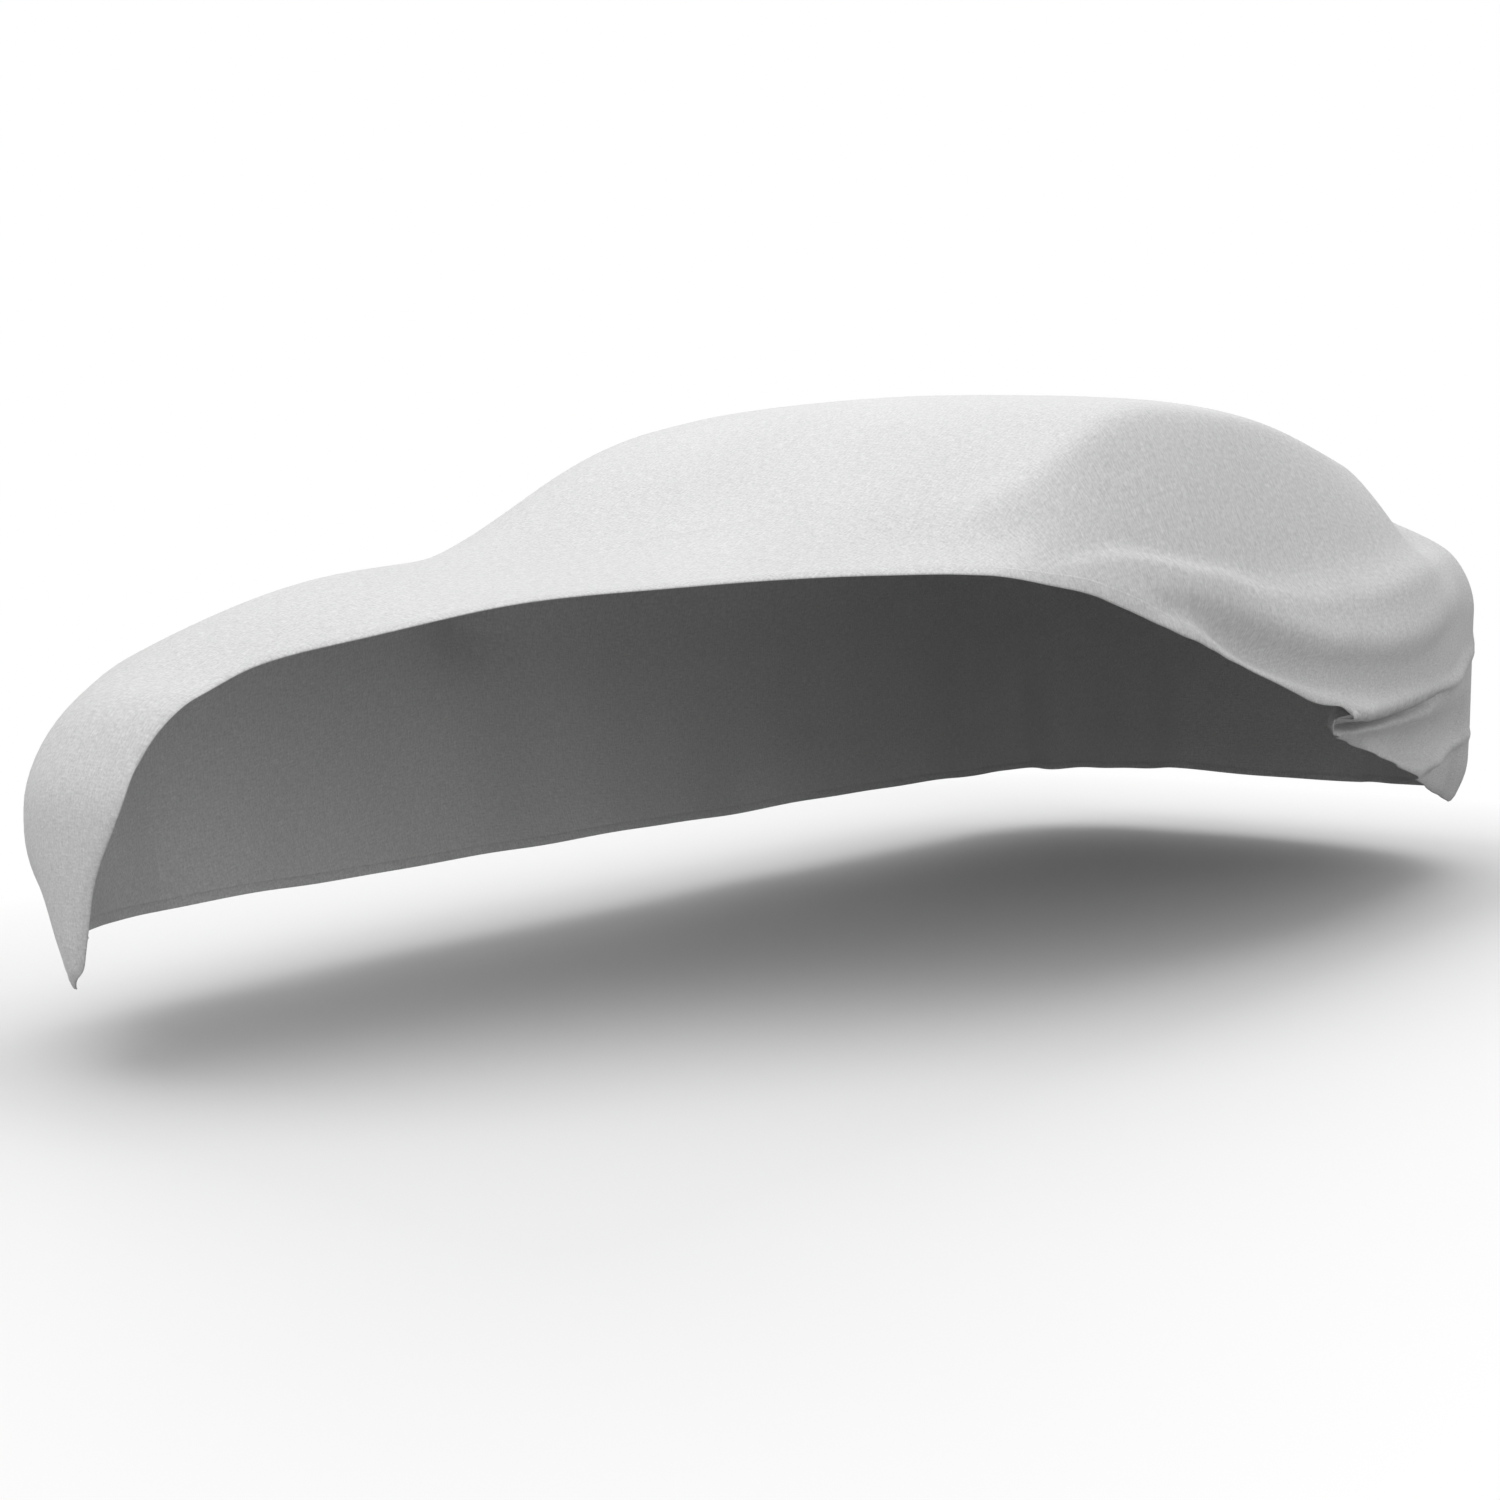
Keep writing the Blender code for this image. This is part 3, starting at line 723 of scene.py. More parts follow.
@dataclass(frozen=True)
class CutOutline:
    """The four hems of the sheet in the flat pattern, each a function of a share 0 to 1."""

    form: HangingForm
    hem_height: float = 0.22
    tip_height: float = 0.19
    tip_turn: float = 0.095
    tail_height: float = 0.255
    tail_sharpness: float = 4.0
    eighth_turn: float = math.pi / 4
    places_read: int = 1201

    def reaching(self, core: Place, out_x: Array, out_y: Array, height: Array) -> Array:
        """Finds where the wall outside a core point reaches a height above the floor.

        Past the end of the turn the wall drops by the edge's height less the shoulder's
        radius and that height.

        Args:
            core: Core points' x and y, each a number or an array.
            out_x: Outward direction across.
            out_y: Outward direction along.
            height: Heights of the hem above the floor.

        Returns:
            Pattern points.
        """
        form, (core_x, core_y) = self.form, core
        radius = form.corner_radius
        edge = form.top.height(core_x + out_x * radius, core_y + out_y * radius)
        out = form.turn_end + edge - form.shoulder_radius - height
        return np.stack([core_x + out_x * out, core_y + out_y * out], axis=-1)

    def round_corners(self, start: float, end: float, share: Array) -> tuple[Array, Array]:
        """Walks along a side of the core, with half of the corner at either end.

        Args:
            start: Where the side starts.
            end: Where it ends.
            share: Shares of the walk.

        Returns:
            Places on the side, and the turn away from square to it.
        """
        radius = self.form.hem_radius
        corner = self.eighth_turn * radius
        walk = start - corner + share * (end - start + 2.0 * corner)
        place = np.clip(walk, start, end)
        return place, (walk - place) / radius

    def right(self, share: Array) -> Array:
        """Right hem, from the middle of the front corner to the middle of the rear one."""
        form = self.form
        core_y, turn = self.round_corners(form.core_front, form.core_rear, share)
        core = (-form.core_across, core_y)
        return self.reaching(core, -np.cos(turn), np.sin(turn), self.hem_height)

    def rear(self, share: Array) -> Array:
        """Rear hem, from the middle of the right corner to the middle of the left one."""
        form = self.form
        core_x, turn = self.round_corners(-form.core_across, form.core_across, share)
        rise = (self.tail_height - self.hem_height) * share**self.tail_sharpness
        core = (core_x, form.core_rear)
        return self.reaching(core, np.sin(turn), np.cos(turn), self.hem_height + rise)

    def front(self, share: Array) -> Array:
        """Front hem, from the middle of the right corner down to the hanging tip."""
        turn = -self.eighth_turn + (self.eighth_turn - self.tip_turn) * share
        height = self.hem_height + (self.tip_height - self.hem_height) * share**2
        core = (-self.form.core_across, self.form.core_front)
        return self.reaching(core, np.sin(turn), -np.cos(turn), height)

    def left(self, share: Array) -> Array:
        """Left hem, a batten from the hanging tip to the middle of the rear left corner."""
        tip, corner = self.front(np.ones(1))[0], self.rear(np.ones(1))[0]
        along = np.array([tip[1], *column(LEFT_HEM, "along"), corner[1]])
        across = np.array([tip[0], *column(LEFT_HEM, "across"), corner[0]])
        place = along[0] + share * (along[-1] - along[0])
        return np.stack([batten(along, across, place), place], axis=-1)

    def spread(self, down: Array, over: Array) -> Array:
        """Stretches the sheet between its four hems.

        A point is the blend of the right and left hems, plus the blend of the front and rear
        hems, less the blend of the four corners.

        Args:
            down: Shares from the front hem to the rear hem.
            over: Shares from the right hem to the left hem.

        Returns:
            Pattern points.
        """
        ends = np.array([0.0, 1.0])
        near_right, far_right = self.right(ends)
        near_left, far_left = self.left(ends)
        d, o = down[..., None], over[..., None]
        sides = (1.0 - o) * self.right(down) + o * self.left(down)
        across = (1.0 - d) * self.front(over) + d * self.rear(over)
        corners = (1.0 - d) * ((1.0 - o) * near_right + o * near_left)
        return sides + across - corners - d * ((1.0 - o) * far_right + o * far_left)

    def walk_round(self, spacing: float) -> Array:
        """Walks once round the whole hem, from the tip down the left side, in equal steps.

        Args:
            spacing: Length of a step.

        Returns:
            Pattern points of the closed hem, the first one not repeated.
        """
        share = np.linspace(0.0, 1.0, self.places_read)
        sides = {
            Edge.LEFT: self.left(share),
            Edge.REAR: self.rear(share[::-1]),
            Edge.RIGHT: self.right(share[::-1]),
            Edge.FRONT: self.front(share),
        }
        closed = np.concatenate([points[:-1] for points in sides.values()])
        closed = np.concatenate([closed, closed[:1]])
        steps = np.linalg.norm(np.diff(closed, axis=0), axis=1)
        gone = np.concatenate([[0.0], np.cumsum(steps)])
        at = np.linspace(0.0, gone[-1], int(round(gone[-1] / spacing)), endpoint=False)
        return np.stack([np.interp(at, gone, closed[:, axis]) for axis in (0, 1)], axis=-1)


def distance_to_line(points: Array, line: Array) -> Array:
    """Distance of pattern points from a line through closely set places.

    It is the least distance from the two straight pieces beside the nearest place. The
    points are taken in blocks, which saves memory.

    Args:
        points: Pattern points.
        line: Places of the line in order.

    Returns:
        Distances, shaped as the points.
    """
    distances = []
    for block in np.array_split(points.reshape(-1, 2), BLOCKS):
        apart = np.hypot(block[:, None, 0] - line[:, 0], block[:, None, 1] - line[:, 1])
        nearest = np.clip(apart.argmin(axis=1), 1, len(line) - 2)
        distance = np.full(len(block), np.inf)
        for first, second in ((nearest - 1, nearest), (nearest, nearest + 1)):
            piece = line[second] - line[first]
            part = ((block - line[first]) * piece).sum(axis=1) / (piece**2).sum(axis=1)
            foot = line[first] + np.clip(part, 0.0, 1.0)[:, None] * piece
            distance = np.minimum(distance, np.linalg.norm(block - foot, axis=1))
        distances.append(distance)
    return np.concatenate(distances).reshape(points.shape[:-1])


# --- meshes ---


def grid_faces(rows: int, columns: int, joins_rows: bool = False, tube: bool = False) -> Faces:
    """Lists the quads of a grid of points.

    Args:
        rows: Number of rows of points.
        columns: Number of points in a row.
        joins_rows: Whether the last row joins the first.
        tube: Whether each row closes on itself.

    Returns:
        Four point numbers for each quad.
    """
    index = np.arange(rows * columns).reshape(rows, columns)
    if joins_rows:
        index = np.vstack([index, index[:1]])
    if tube:
        index = np.hstack([index, index[:, :1]])
    corners = [index[:-1, :-1], index[:-1, 1:], index[1:, 1:], index[1:, :-1]]
    return np.stack(corners, axis=-1).reshape(-1, 4)


def make_object(name: str, points: Array, faces: Faces, material: Material) -> Object:
    """Makes a smooth mesh object at the origin, with its place in its points.

    Args:
        name: Name of the object and of its mesh.
        points: Points in the row frame.
        faces: Point numbers of each face.
        material: The finish.

    Returns:
        The object, linked to the scene.
    """
    mesh = bpy.data.meshes.new(name)
    mesh.from_pydata(points.reshape(-1, 3).tolist(), [], faces.tolist())
    mesh.materials.append(material)
    mesh.shade_smooth()
    made = bpy.data.objects.new(name, mesh)
    bpy.context.scene.collection.objects.link(made)
    return made


def put_pattern(made: Object, flat: Array, from_hem: Array) -> None:
    """Gives the mesh its flat pattern as UV map, in metres, and its distances from the hem.

    Args:
        made: The object whose mesh gets them.
        flat: Pattern place of each point, across and along.
        from_hem: Distance of each point from the hem.
    """
    mesh = made.data
    corner = np.zeros(len(mesh.loops), dtype=np.int32)
    mesh.loops.foreach_get("vertex_index", corner)
    layer = mesh.uv_layers.new(name="flat_pattern")
    layer.data.foreach_set("uv", flat.reshape(-1, 2)[corner].astype(np.float32).ravel())
    layer = mesh.attributes.new("from_hem", "FLOAT", "POINT")
    layer.data.foreach_set("value", from_hem.astype(np.float32).ravel())


# --- finishes ---


@dataclass
class NodeSheet:
    """The nodes of a material or of the world, with short ways to add to them."""

    owner: Material | bpy.types.World
    nodes: bpy.types.Nodes = field(init=False)

    def __post_init__(self) -> None:
        """Starts the owner's nodes."""
        self.owner.use_nodes = True
        self.nodes = self.owner.node_tree.nodes

    @property
    def shader(self) -> Node:
        """The Principled shader of a material."""
        return self.nodes["Principled BSDF"]

    def feed(self, node: Node, feeds: Feeds) -> None:
        """Links a node's inputs, or sets their constants.

        Args:
            node: The node.
            feeds: A socket or a constant for each input, by its name or number.
        """
        for name, value in feeds.items():
            if isinstance(value, Socket):
                self.owner.node_tree.links.new(value, node.inputs[name])
            else:
                node.inputs[name].default_value = value

    def add(self, kind: str, feeds: Feeds | None = None, **settings: object) -> Node:
        """Adds a node.

        Args:
            kind: Blender's name of it, without ShaderNode.
            feeds: A socket or a constant for each input that is fed.
            settings: Its properties.

        Returns:
            The node.
        """
        node = self.nodes.new("ShaderNode" + kind)
        for name, value in settings.items():
            setattr(node, name, value)
        self.feed(node, feeds or {})
        return node

    def joined(self, kind: str, *values: object, **settings: object) -> Socket:
        """Adds a node that is fed with values in the order of its inputs."""
        return self.add(kind, dict(enumerate(values)), **settings).outputs[0]

    def maths(self, operation: str, *values: object) -> Socket:
        """One step of arithmetic, by Blender's name, on numbers or sockets."""
        return self.joined("Math", *values, operation=operation)

    def times(self, first: object, *others: object) -> Socket:
        """The product of numbers and sockets."""
        return reduce(lambda so_far, other: self.maths("MULTIPLY", so_far, other), others, first)

    def split(self, place: Socket) -> bpy.types.NodeOutputs:
        """The X, Y and Z of a place."""
        return self.add("SeparateXYZ", {0: place}).outputs

    def noise(self, place: Socket, size: float, detail: float = 2.0, rough: float = 0.5) -> Socket:
        """A noise from 0 to 1 whose blobs are about the given size."""
        feeds = {"Vector": place, "Scale": 1.0 / size, "Detail": detail, "Roughness": rough}
        return self.add("TexNoise", feeds).outputs["Fac"]

    def between(self, value: Socket, *ends: float) -> Socket:
        """Maps a low and a high end to another pair of ends, clamped."""
        names = ("From Min", "From Max", "To Min", "To Max")
        return self.add("MapRange", {"Value": value, **dict(zip(names, ends))}).outputs["Result"]

    def varied(self, noise: Socket, amount: float) -> Socket:
        """A factor that follows a noise, from 1 less the amount to 1 plus the amount."""
        return self.between(noise, *NOISE_SPAN, 1.0 - amount, 1.0 + amount)

    def fade(self, value: Socket) -> Socket:
        """Falls from 1 as the value grows from 0: exp(-value)."""
        return self.maths("EXPONENT", self.times(value, -1.0))

    def bump(self, height: Socket, distance: float, **under: Socket) -> Socket:
        """The normal of a height times a distance, over the Normal that is given, if any."""
        feeds = {"Strength": 1.0, "Distance": distance, "Height": height, **under}
        return self.add("Bump", feeds).outputs["Normal"]


@dataclass(frozen=True)
class FoldMark:
    """A short line that folding has pressed into the cloth, straight in the flat pattern."""

    across: float
    along: float
    length: float
    turn: float
    width: float
    height: float


# Pressed lines, in metres: across, along, length, turn in radians, width and height.
FOLD_MARKS = table(
    FoldMark,
    (0.003, -0.980, 0.42, 0.62, 0.014, 0.0036),
    (0.080, -0.430, 0.30, 0.36, 0.014, 0.0018),
    (0.215, -1.095, 0.16, 0.07, 0.014, 0.0016),
)


@dataclass(frozen=True)
class ClothFinish:
    """Matt light grey woven cloth, with its threads, fibre speckle and soft shade changes."""

    name: str = "cover_cloth"
    grey: float = 0.70
    warmth: Triple = (1.0, 1.0, 1.002)
    thread_pitch: float = 0.0026
    thread_height: float = 0.00022
    fibre_share: float = 1.6
    speckle_size: float = 0.006
    speckle: float = 0.12
    slub_width: float = 0.005
    slub_length: float = 0.028
    slub: float = 0.07
    shade_size: float = 0.55
    shade: float = 0.02
    pucker_height: float = 0.0009
    pucker_width: float = 0.030
    pucker_size: float = 0.018
    stitch_line: float = 0.018
    roughness: float = 0.88
    sheen: float = 0.05
    gloss: float = 0.12
    sheen_roughness: float = 0.45

    def fold_marks(self, sheet: NodeSheet, flat: Socket) -> Socket:
        """Adds up the pressed lines: exp(-(along^4 + beside^2)) over half length and width.

        Args:
            sheet: The material's nodes.
            flat: Pattern place, in metres.

        Returns:
            The height over all lines, in metres.
        """
        total = 0.0
        for mark in FOLD_MARKS:
            feeds = {
                "Vector": flat,
                "Location": (mark.across, mark.along, 0.0),
                "Rotation": (0.0, 0.0, mark.turn),
                "Scale": (mark.length / 2, mark.width, 1.0),
            }
            placed = sheet.add("Mapping", feeds, vector_type="TEXTURE")
            local = sheet.split(placed.outputs[0])
            along = sheet.maths("POWER", sheet.maths("ABSOLUTE", local["X"]), 4.0)
            line = sheet.fade(sheet.maths("ADD", along, sheet.times(local["Y"], local["Y"])))
            total = sheet.maths("MULTIPLY_ADD", line, mark.height, total)
        return total

    def material(self) -> Material:
        """Builds the cloth's material on the flat pattern.

        The threads are the product of two sine waves. Speckle, shade and slubs are noises
        that scale the grey, the slubs drawn out along either thread. Puckers are a noise
        that fades to both sides of the stitch line.

        Returns:
            The material.
        """
        sheet = NodeSheet(bpy.data.materials.new(self.name))
        flat = sheet.add("UVMap", uv_map="flat_pattern").outputs["UV"]
        place = sheet.split(flat)
        turns = TURN / self.thread_pitch
        waves = [sheet.maths("SINE", sheet.times(place[axis], turns)) for axis in "XY"]
        fibre = sheet.noise(flat, self.speckle_size, detail=3.0, rough=0.6)
        grey = sheet.varied(fibre, self.speckle)
        for reach in ((self.slub_width, self.slub_length), (self.slub_length, self.slub_width)):
            drawn = [sheet.maths("DIVIDE", place[axis], size) for axis, size in zip("XY", reach)]
            slubs = sheet.noise(sheet.joined("CombineXYZ", *drawn), 1.0)
            grey = sheet.times(grey, sheet.varied(slubs, self.slub))
        shade = sheet.varied(sheet.noise(flat, self.shade_size), self.shade)
        grey = sheet.times(grey, shade, self.grey)
        tinted = (sheet.times(grey, tint) for tint in self.warmth)

        from_hem = sheet.add("Attribute", attribute_name="from_hem").outputs["Fac"]
        from_stitches = sheet.maths("SUBTRACT", from_hem, self.stitch_line)
        beside = sheet.maths("DIVIDE", from_stitches, self.pucker_width)
        near = sheet.fade(sheet.times(beside, beside))
        pucker = sheet.times(sheet.noise(flat, self.pucker_size, detail=1.0), near)
        puckered = sheet.bump(pucker, self.pucker_height)
        pressed = sheet.bump(self.fold_marks(sheet, flat), 1.0, Normal=puckered)
        woven = sheet.maths("ADD", sheet.times(*waves), sheet.times(fibre, self.fibre_share))
        feeds = {
            "Base Color": sheet.joined("CombineColor", *tinted),
            "Normal": sheet.bump(woven, self.thread_height, Normal=pressed),
            "Roughness": self.roughness,
            "Sheen Weight": self.sheen,
            "Sheen Roughness": self.sheen_roughness,
            "Specular IOR Level": self.gloss,
        }
        sheet.feed(sheet.shader, feeds)
        return sheet.owner


@dataclass(frozen=True)
class ThreadFinish:
    """Spun sewing thread of the cloth's own grey."""

    name: str = "hem_thread"
    grey: float = 0.70
    roughness: float = 0.7
    twist_pitch: float = 0.0006
    # darkness of the painted shade in the grooves of the twisted ply
    twist_painted_shade: float = 0.9

    def material(self) -> Material:
        """Builds the thread's material: painted shade in the grooves of its ply, a slanting wave.

        Returns:
            The material.
        """
        sheet = NodeSheet(bpy.data.materials.new(self.name))
        place = sheet.add("TexCoord").outputs["Object"]
        feeds = {"Scale": 1.0 / self.twist_pitch / TURN, "Vector": place}
        wave = sheet.add("TexWave", feeds, bands_direction="DIAGONAL").outputs["Fac"]
        # painted shade: the grooves of the twisted ply, darker along a slanting wave
        shade = sheet.between(wave, 0.0, 1.0, self.grey * self.twist_painted_shade, self.grey)
        colour = sheet.joined("CombineColor", shade, shade, shade)
        sheet.feed(sheet.shader, {"Base Color": colour, "Roughness": self.roughness})
        return sheet.owner


@dataclass(frozen=True)
class FloorFinish:
    """A pale studio floor that goes over into the white backdrop."""

    name: str = "studio_floor"
    grey: float = 0.90
    roughness: float = 0.55
    middle: Pair = (0.0, -0.35)
    half_size: Pair = (1.0, 2.45)
    fades: Pair = (0.15, 1.45)
    glow: float = 1.0
    bounce: float = 0.35

    def material(self) -> Material:
        """Builds the floor: matt near the cover, plain white light further out.

        The white grows with the distance outside the cover's plan rectangle, the root of the
        squared overshoots. The light that the floor throws back up is dimmer than it looks.

        Returns:
            The material.
        """
        sheet = NodeSheet(bpy.data.materials.new(self.name))
        place = sheet.split(sheet.add("TexCoord").outputs["Object"])
        beyond = []
        for axis, middle, half in zip("XY", self.middle, self.half_size):
            from_middle = sheet.maths("ABSOLUTE", sheet.maths("SUBTRACT", place[axis], middle))
            past = sheet.maths("MAXIMUM", sheet.maths("SUBTRACT", from_middle, half), 0.0)
            beyond.append(sheet.times(past, past))
        distance = sheet.maths("SQRT", sheet.maths("ADD", *beyond))
        far = sheet.between(distance, *self.fades, 0.0, 1.0)
        glow = sheet.add("Emission", {"Strength": self.glow}).outputs[0]
        seen = sheet.joined("MixShader", far, sheet.shader.outputs[0], glow)
        dim = sheet.add("BsdfDiffuse", {"Color": (*[self.bounce] * 3, 1.0)}).outputs[0]
        to_camera = sheet.add("LightPath").outputs["Is Camera Ray"]
        mixed = sheet.joined("MixShader", to_camera, dim, seen)
        sheet.feed(sheet.nodes["Material Output"], {"Surface": mixed})
        matt = {"Base Color": (*[self.grey] * 3, 1.0), "Roughness": self.roughness}
        sheet.feed(sheet.shader, matt)
        return sheet.owner


# --- the pieces ---


@dataclass
class CoverCloth:
    """The one cloth of the cover, cut at its hems and hung."""

    form: HangingForm
    cut: CutOutline
    finish: ClothFinish
    rows: int = 252
    columns: int = 188
    left_crowding: float = 0.78
    notch_crowding: float = 2.6
    notch_share: float = 0.655
    notch_reach: float = 0.055
    hem_lip_width: float = 0.030
    hem_lip_drop: float = 0.005
    left_hem_places: int = 601
    hem_spacing: float = 0.02
    name: str = "cover_cloth_sheet"

    def pattern(self) -> Array:
        """Lays the grid on the flat pattern, its cells crowded where the folds are.

        Each row's step is divided by 1 plus a bell centred on the notch, and the columns
        crowd towards the drawn-up left side.

        Returns:
            Pattern points of the grid.
        """
        even = np.linspace(0.0, 1.0, self.rows)
        crowd = self.notch_crowding * bell((even - self.notch_share) / self.notch_reach)
        steps = 1.0 / (1.0 + crowd)
        down = np.cumsum(steps) - steps[0]
        down /= down[-1]
        even = np.linspace(0.0, 1.0, self.columns)
        over = (1.0 - self.left_crowding) * even + self.left_crowding * (1.0 - (1.0 - even) ** 2)
        return self.cut.spread(*np.meshgrid(down, over, indexing="ij"))

    def hung(self, flat: Array) -> Array:
        """Rolls the left hem in by a soft lip, the square of the share of its width left over.

        Args:
            flat: Pattern points.

        Returns:
            Points in the standing frame.
        """
        left_hem = self.cut.left(np.linspace(0.0, 1.0, self.left_hem_places))
        left_over = 1.0 - distance_to_line(flat, left_hem) / self.hem_lip_width
        lip = self.hem_lip_drop * np.clip(left_over, 0.0, 1.0) ** 2
        normal, _ = self.form.frame_at(self.form.hang, flat)
        return self.form.folded(flat) - normal * lip[..., None]

    def build(self) -> Object:
        """Makes the cloth with its thickness, its flat pattern and its finish.

        Returns:
            The cloth.
        """
        flat = self.pattern()
        points = self.hung(flat) + self.form.to_row()
        faces = grid_faces(self.rows, self.columns)
        cloth = make_object(self.name, points, faces, self.finish.material())
        put_pattern(cloth, flat, distance_to_line(flat, self.cut.walk_round(self.hem_spacing)))
        wall = cloth.modifiers.new("cloth_thickness", "SOLIDIFY")
        wall.thickness = self.form.cloth_thickness
        wall.offset = -1.0
        return cloth

    def flat_size(self) -> Triple:
        """Measures the cut: its width, its length and its area.

        Returns:
            Width across, length along, and the area of the grid's cells.
        """
        flat = self.pattern()
        width, length = np.ptp(flat[..., 0]), np.ptp(flat[..., 1])
        first = flat[1:, 1:] - flat[:-1, :-1]
        second = flat[1:, :-1] - flat[:-1, 1:]
        cells = first[..., 0] * second[..., 1] - first[..., 1] * second[..., 0]
        return float(width), float(length), float(np.abs(cells).sum() / 2.0)


@dataclass(frozen=True)
class SectionPoint:
    """A point of the hem's section: in from the edge, and out from the cloth's outer face."""

    inward: float
    outward: float


# The turned hem's section goes once round: along the outer face, over the fold of the edge
# and back along the turned-in layer. In metres: inward and outward.
HEM_SECTION = table(
    SectionPoint,
    (0.0220, -0.0003),
    (0.0205, 0.0004),
    (0.0180, 0.0001),
    (0.0150, 0.0005),
    (0.0020, 0.0005),
    (-0.0010, -0.0004),
    (-0.0018, -0.0018),
    (-0.0010, -0.0032),
    (0.0020, -0.0038),
    (0.0205, -0.0038),
    (0.0220, -0.0022),
)


@dataclass(frozen=True)
class HemFrames:
    """Places beside the hem, all the way round, with the cloth's directions there."""

    cover: CoverCloth
    spacing: float
    softened_steps: int = 4

    def line(self) -> tuple[Array, Array]:
        """Walks round the hem.

        Returns:
            Pattern points of the hem, and the ways into the cloth, which are the softened
            ways along turned by a quarter.
        """
        hem = self.cover.cut.walk_round(self.spacing)
        ahead = unit(np.roll(hem, -1, axis=0) - np.roll(hem, 1, axis=0))
        shifts = range(-self.softened_steps, self.softened_steps + 1)
        softened = unit(sum(np.roll(ahead, shift, axis=0) for shift in shifts))
        return hem, np.stack([-softened[:, 1], softened[:, 0]], axis=-1)

    def at(self, inward: Array) -> tuple[Array, Array, Array, Array]:
        """Hangs a line that runs beside the hem.

        Args:
            inward: Distance in from the hem at each step of the walk.

        Returns:
            The pattern places, the hung points, the normals and the ways in along the cloth.
        """
        hem, way_in = self.line()
        flat = hem + way_in * inward[:, None]
        points = self.cover.hung(flat)
        normal, _ = self.cover.form.frame_at(self.cover.hung, flat)
        probed = self.cover.hung(flat + way_in * self.cover.form.probe)
        return flat, points, normal, unit(probed - points)


@dataclass(frozen=True)
class TurnedHem:
    """The hem of the cloth: its edge turned in and laid flat on the inside."""

    cover: CoverCloth
    spacing: float = 0.010
    name: str = "cover_hem"

    def build(self) -> Object:
        """Sweeps the hem's section once round the cloth.

        Points inside the edge follow the cloth, and points past it go straight on.

        Returns:
            The hem.
        """
        frames = HemFrames(self.cover, self.spacing)
        count = len(frames.line()[0])
        ring, flats, distances = [], [], []
        for section in HEM_SECTION:
            inside = np.full(count, max(section.inward, 0.0))
            flat, points, normal, way_in = frames.at(inside)
            past = way_in * min(section.inward, 0.0)
            ring.append(points + past + normal * section.outward)
            flats.append(flat)
            distances.append(inside)
        points = np.stack(ring, axis=1) + self.cover.form.to_row()
        faces = grid_faces(count, len(HEM_SECTION), joins_rows=True, tube=True)
        hem = make_object(self.name, points, faces, self.cover.finish.material())
        put_pattern(hem, np.stack(flats, axis=1), np.stack(distances, axis=1))
        return hem


@dataclass(frozen=True)
class HemStitches:
    """The row of lockstitches that holds the turned hem, one small arched thread each."""

    cover: CoverCloth
    finish: ThreadFinish
    inward: float = 0.018
    pitch: float = 0.0045
    share_shown: float = 0.74
    thread: float = 0.0007
    arch: float = 0.0005
    sunk: float = 0.0006
    seed: int = 11
    unevenness: float = 0.0002
    name: str = "hem_stitches"

    def build(self) -> Object:
        """Lays a stitch at each pitch: three square sections, the outer two sunk in the cloth.

        Each stitch strays a little in or out, at random from a fixed seed.

        Returns:
            All the stitches, joined.
        """
        frames = HemFrames(self.cover, self.pitch)
        count = len(frames.line()[0])
        strays = np.random.default_rng(self.seed).normal(0.0, self.unevenness, count)
        _, points, normal, way_in = frames.at(self.inward + strays)
        ahead = unit(np.cross(way_in, normal))
        half = self.pitch * self.share_shown / 2.0
        sections = []
        for along, lift in ((-half, -self.sunk), (0.0, self.arch), (half, -self.sunk)):
            centre = points + ahead * along + normal * lift
            for side, up in ((-0.5, -0.5), (0.5, -0.5), (0.5, 0.5), (-0.5, 0.5)):
                sections.append(centre + (way_in * side + normal * up) * self.thread)
        stitches = np.stack(sections, axis=1) + self.cover.form.to_row()
        ends = [[3, 2, 1, 0], [8, 9, 10, 11]]
        one = np.concatenate([grid_faces(3, 4, tube=True), ends])
        faces = (one[None] + len(sections) * np.arange(count)[:, None, None]).reshape(-1, 4)
        return make_object(self.name, stitches, faces, self.finish.material())


@dataclass(frozen=True)
class StudioLight:
    """A soft rectangular light that hangs over the floor and looks at a point."""

    name: str
    place: Triple
    aim: Triple
    size: Pair
    power: float

    def hang(self) -> None:
        """Makes the light."""
        data = bpy.data.lights.new(self.name, "AREA")
        data.shape = "RECTANGLE"
        data.size, data.size_y = self.size
        data.energy = self.power
        lamp = bpy.data.objects.new(self.name, data)
        lamp.location = self.place
        aim = np.array(self.aim) - np.array(self.place)
        yaw = math.atan2(-aim[0], aim[1])
        pitch = math.atan2(math.hypot(aim[0], aim[1]), -aim[2])
        lamp.rotation_euler = (pitch, 0.0, yaw)
        bpy.context.scene.collection.objects.link(lamp)


# The lights: name, place, aim, size and power in watts.
LIGHTS = table(
    StudioLight,
    ("nose_softbox", (-0.5, -2.7, 3.3), (0.0, -0.9, -0.6), (5.0, 6.0), 106.0),
    ("tail_softbox", (-0.2, 2.2, 3.3), (0.0, 0.8, -0.6), (5.0, 6.0), 101.0),
    ("side_fill", (6.5, -1.5, 1.6), (0.5, 0.4, -0.6), (5.0, 3.0), 39.0),
    ("low_fill", (-1.6, -7.0, -1.0), (-0.5, -2.9, -0.95), (3.0, 0.9), 34.0),
)


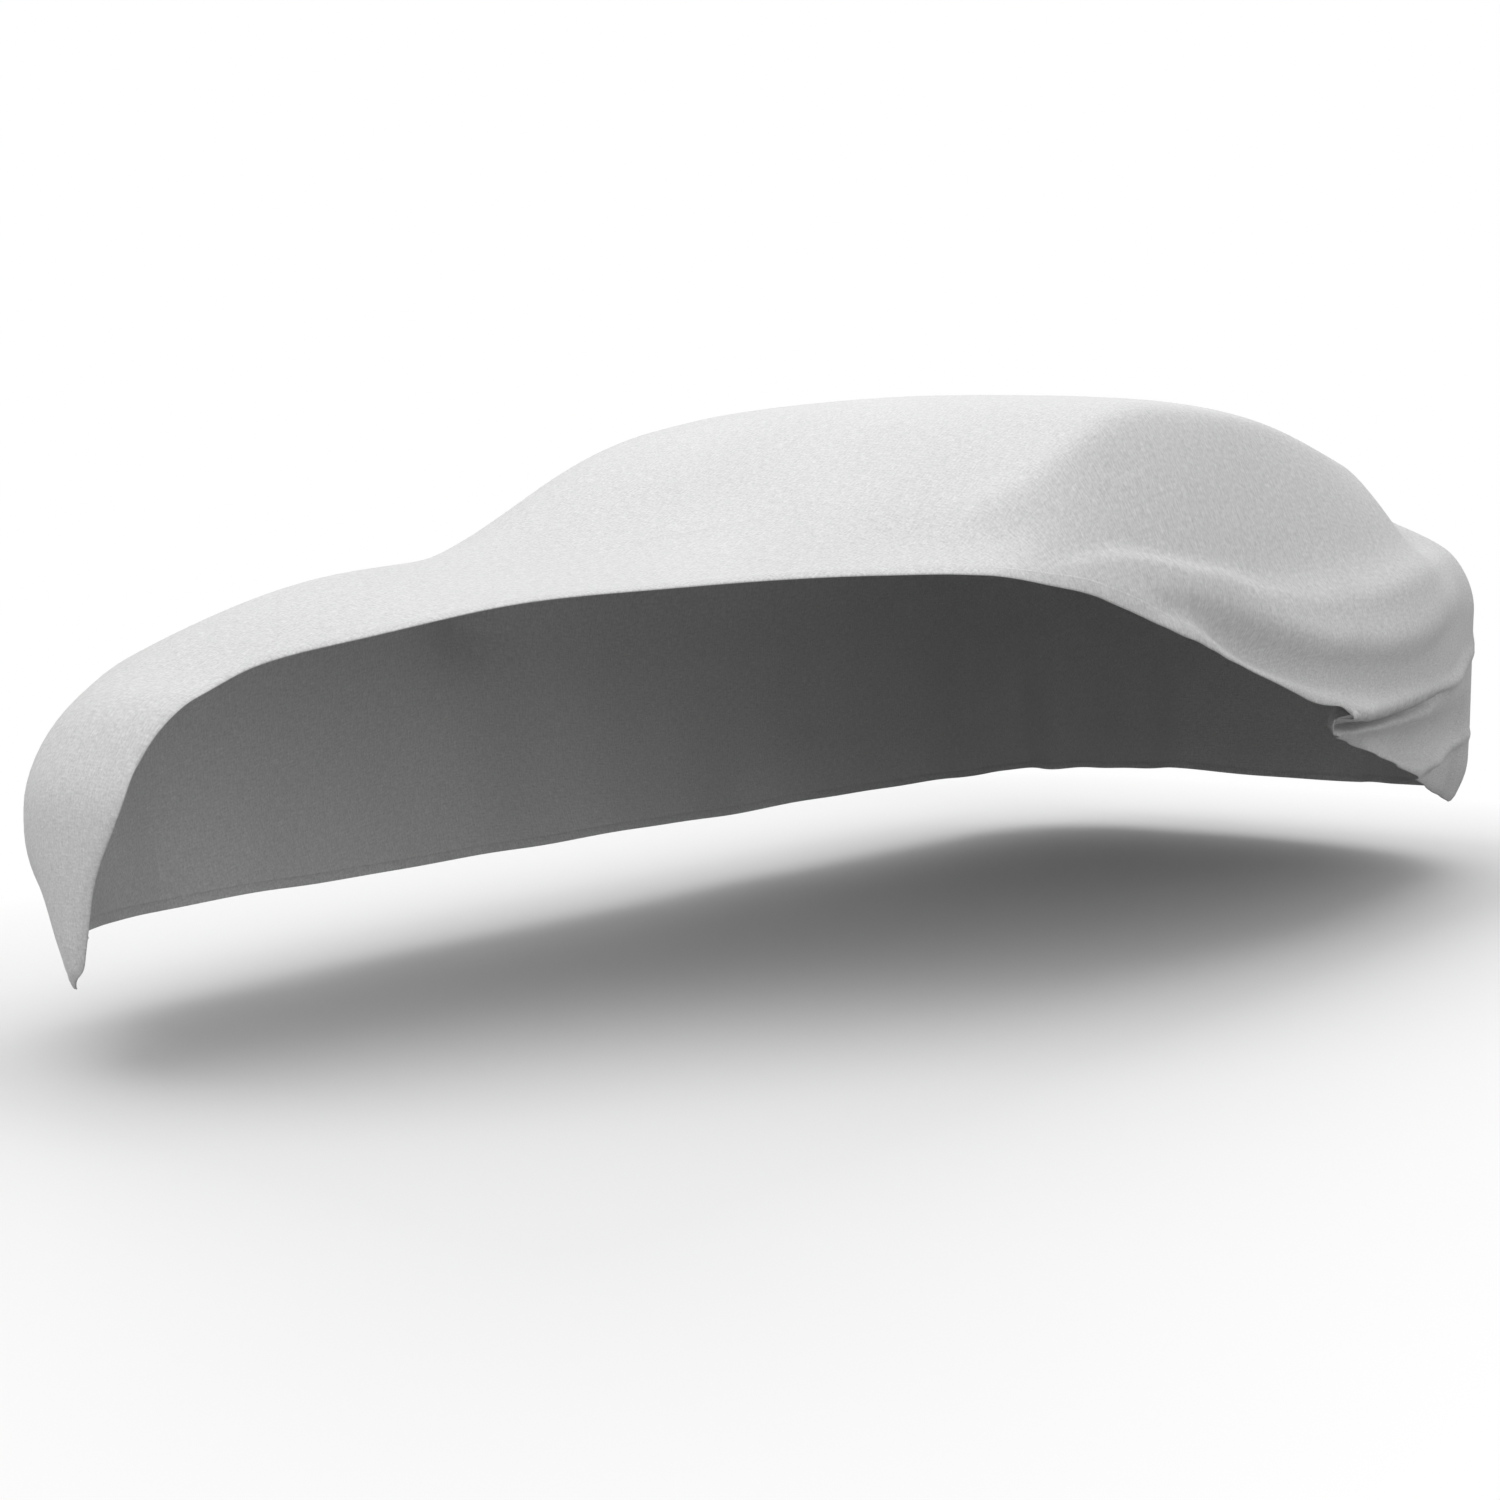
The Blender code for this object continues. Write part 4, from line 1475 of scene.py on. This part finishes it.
@dataclass(frozen=True)
class Studio:
    """The pale floor, the white backdrop, the soft lights and the camera."""

    floor_height: float
    floor_size: float = 90.0
    backdrop: float = 1.0
    fill: float = 0.59
    eye: Triple = (3.3355, -5.2827, -0.3774)
    yaw: float = math.radians(38.18)
    pitch: float = math.radians(5.88)
    focal: float = 51.17
    sensor: float = 36.0
    sight: float = 200.0

    def lay_floor(self) -> None:
        """Lays the floor."""
        half = self.floor_size / 2
        corners = np.array([[-half, -half], [half, -half], [half, half], [-half, half]])
        points = np.column_stack([corners, np.full(4, self.floor_height)])
        faces = np.array([[0, 1, 2, 3]])
        floor = make_object("studio_floor", points, faces, FloorFinish().material())

    def light_world(self) -> None:
        """Makes the backdrop white to the camera's rays and gives the object a dimmer fill."""
        sheet = NodeSheet(bpy.data.worlds.new("studio_world"))
        bpy.context.scene.world = sheet.owner
        to_camera = sheet.add("LightPath").outputs["Is Camera Ray"]
        strength = sheet.between(to_camera, 0.0, 1.0, self.fill, self.backdrop)
        sheet.feed(sheet.nodes["Background"], {"Color": (1.0,) * 4, "Strength": strength})

    def set_camera(self) -> None:
        """Places the camera at the photograph's viewing angle."""
        data = bpy.data.cameras.new("studio_camera")
        data.lens, data.sensor_width = self.focal, self.sensor
        data.clip_end = self.sight
        data.dof.use_dof = False
        camera = bpy.data.objects.new("studio_camera", data)
        camera.location = self.eye
        camera.rotation_euler = (QUARTER - self.pitch, 0.0, self.yaw)
        bpy.context.scene.collection.objects.link(camera)
        bpy.context.scene.camera = camera

    def build(self) -> None:
        """Sets up the whole studio."""
        self.lay_floor()
        self.light_world()
        for light in LIGHTS:
            light.hang()
        self.set_camera()
        bpy.context.scene.view_settings.view_transform = "Standard"


# --- assembly ---


def clear_start() -> None:
    """Removes the cube, light and camera that a new file may start with."""
    for name in ("Cube", "Light", "Camera"):
        if name in bpy.data.objects:
            bpy.data.objects.remove(bpy.data.objects[name], do_unlink=True)


def main() -> None:
    logging.basicConfig(level=logging.INFO, format="%(name)s: %(message)s")
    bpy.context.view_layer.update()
    clear_start()
    form = HangingForm()
    cut = CutOutline(form)
    cover = CoverCloth(form, cut, ClothFinish())
    cloth = cover.build()
    width, length, area = cover.flat_size()
    log.info("%s: flat %.3f x %.3f m, %.2f square metres", cloth.name, width, length, area)
    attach(cloth, "root")
    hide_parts("cover")
    trims = (TurnedHem(cover).build(), HemStitches(cover, ThreadFinish()).build())
    for trim in trims:
        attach(trim, "root")
        log.info("%s: %d faces", trim.name, len(trim.data.polygons))
    Studio(floor_height=float(form.to_row()[2])).build()
    log.info("studio: floor at %.3f m", form.to_row()[2])


if __name__ == "__main__":
    main()
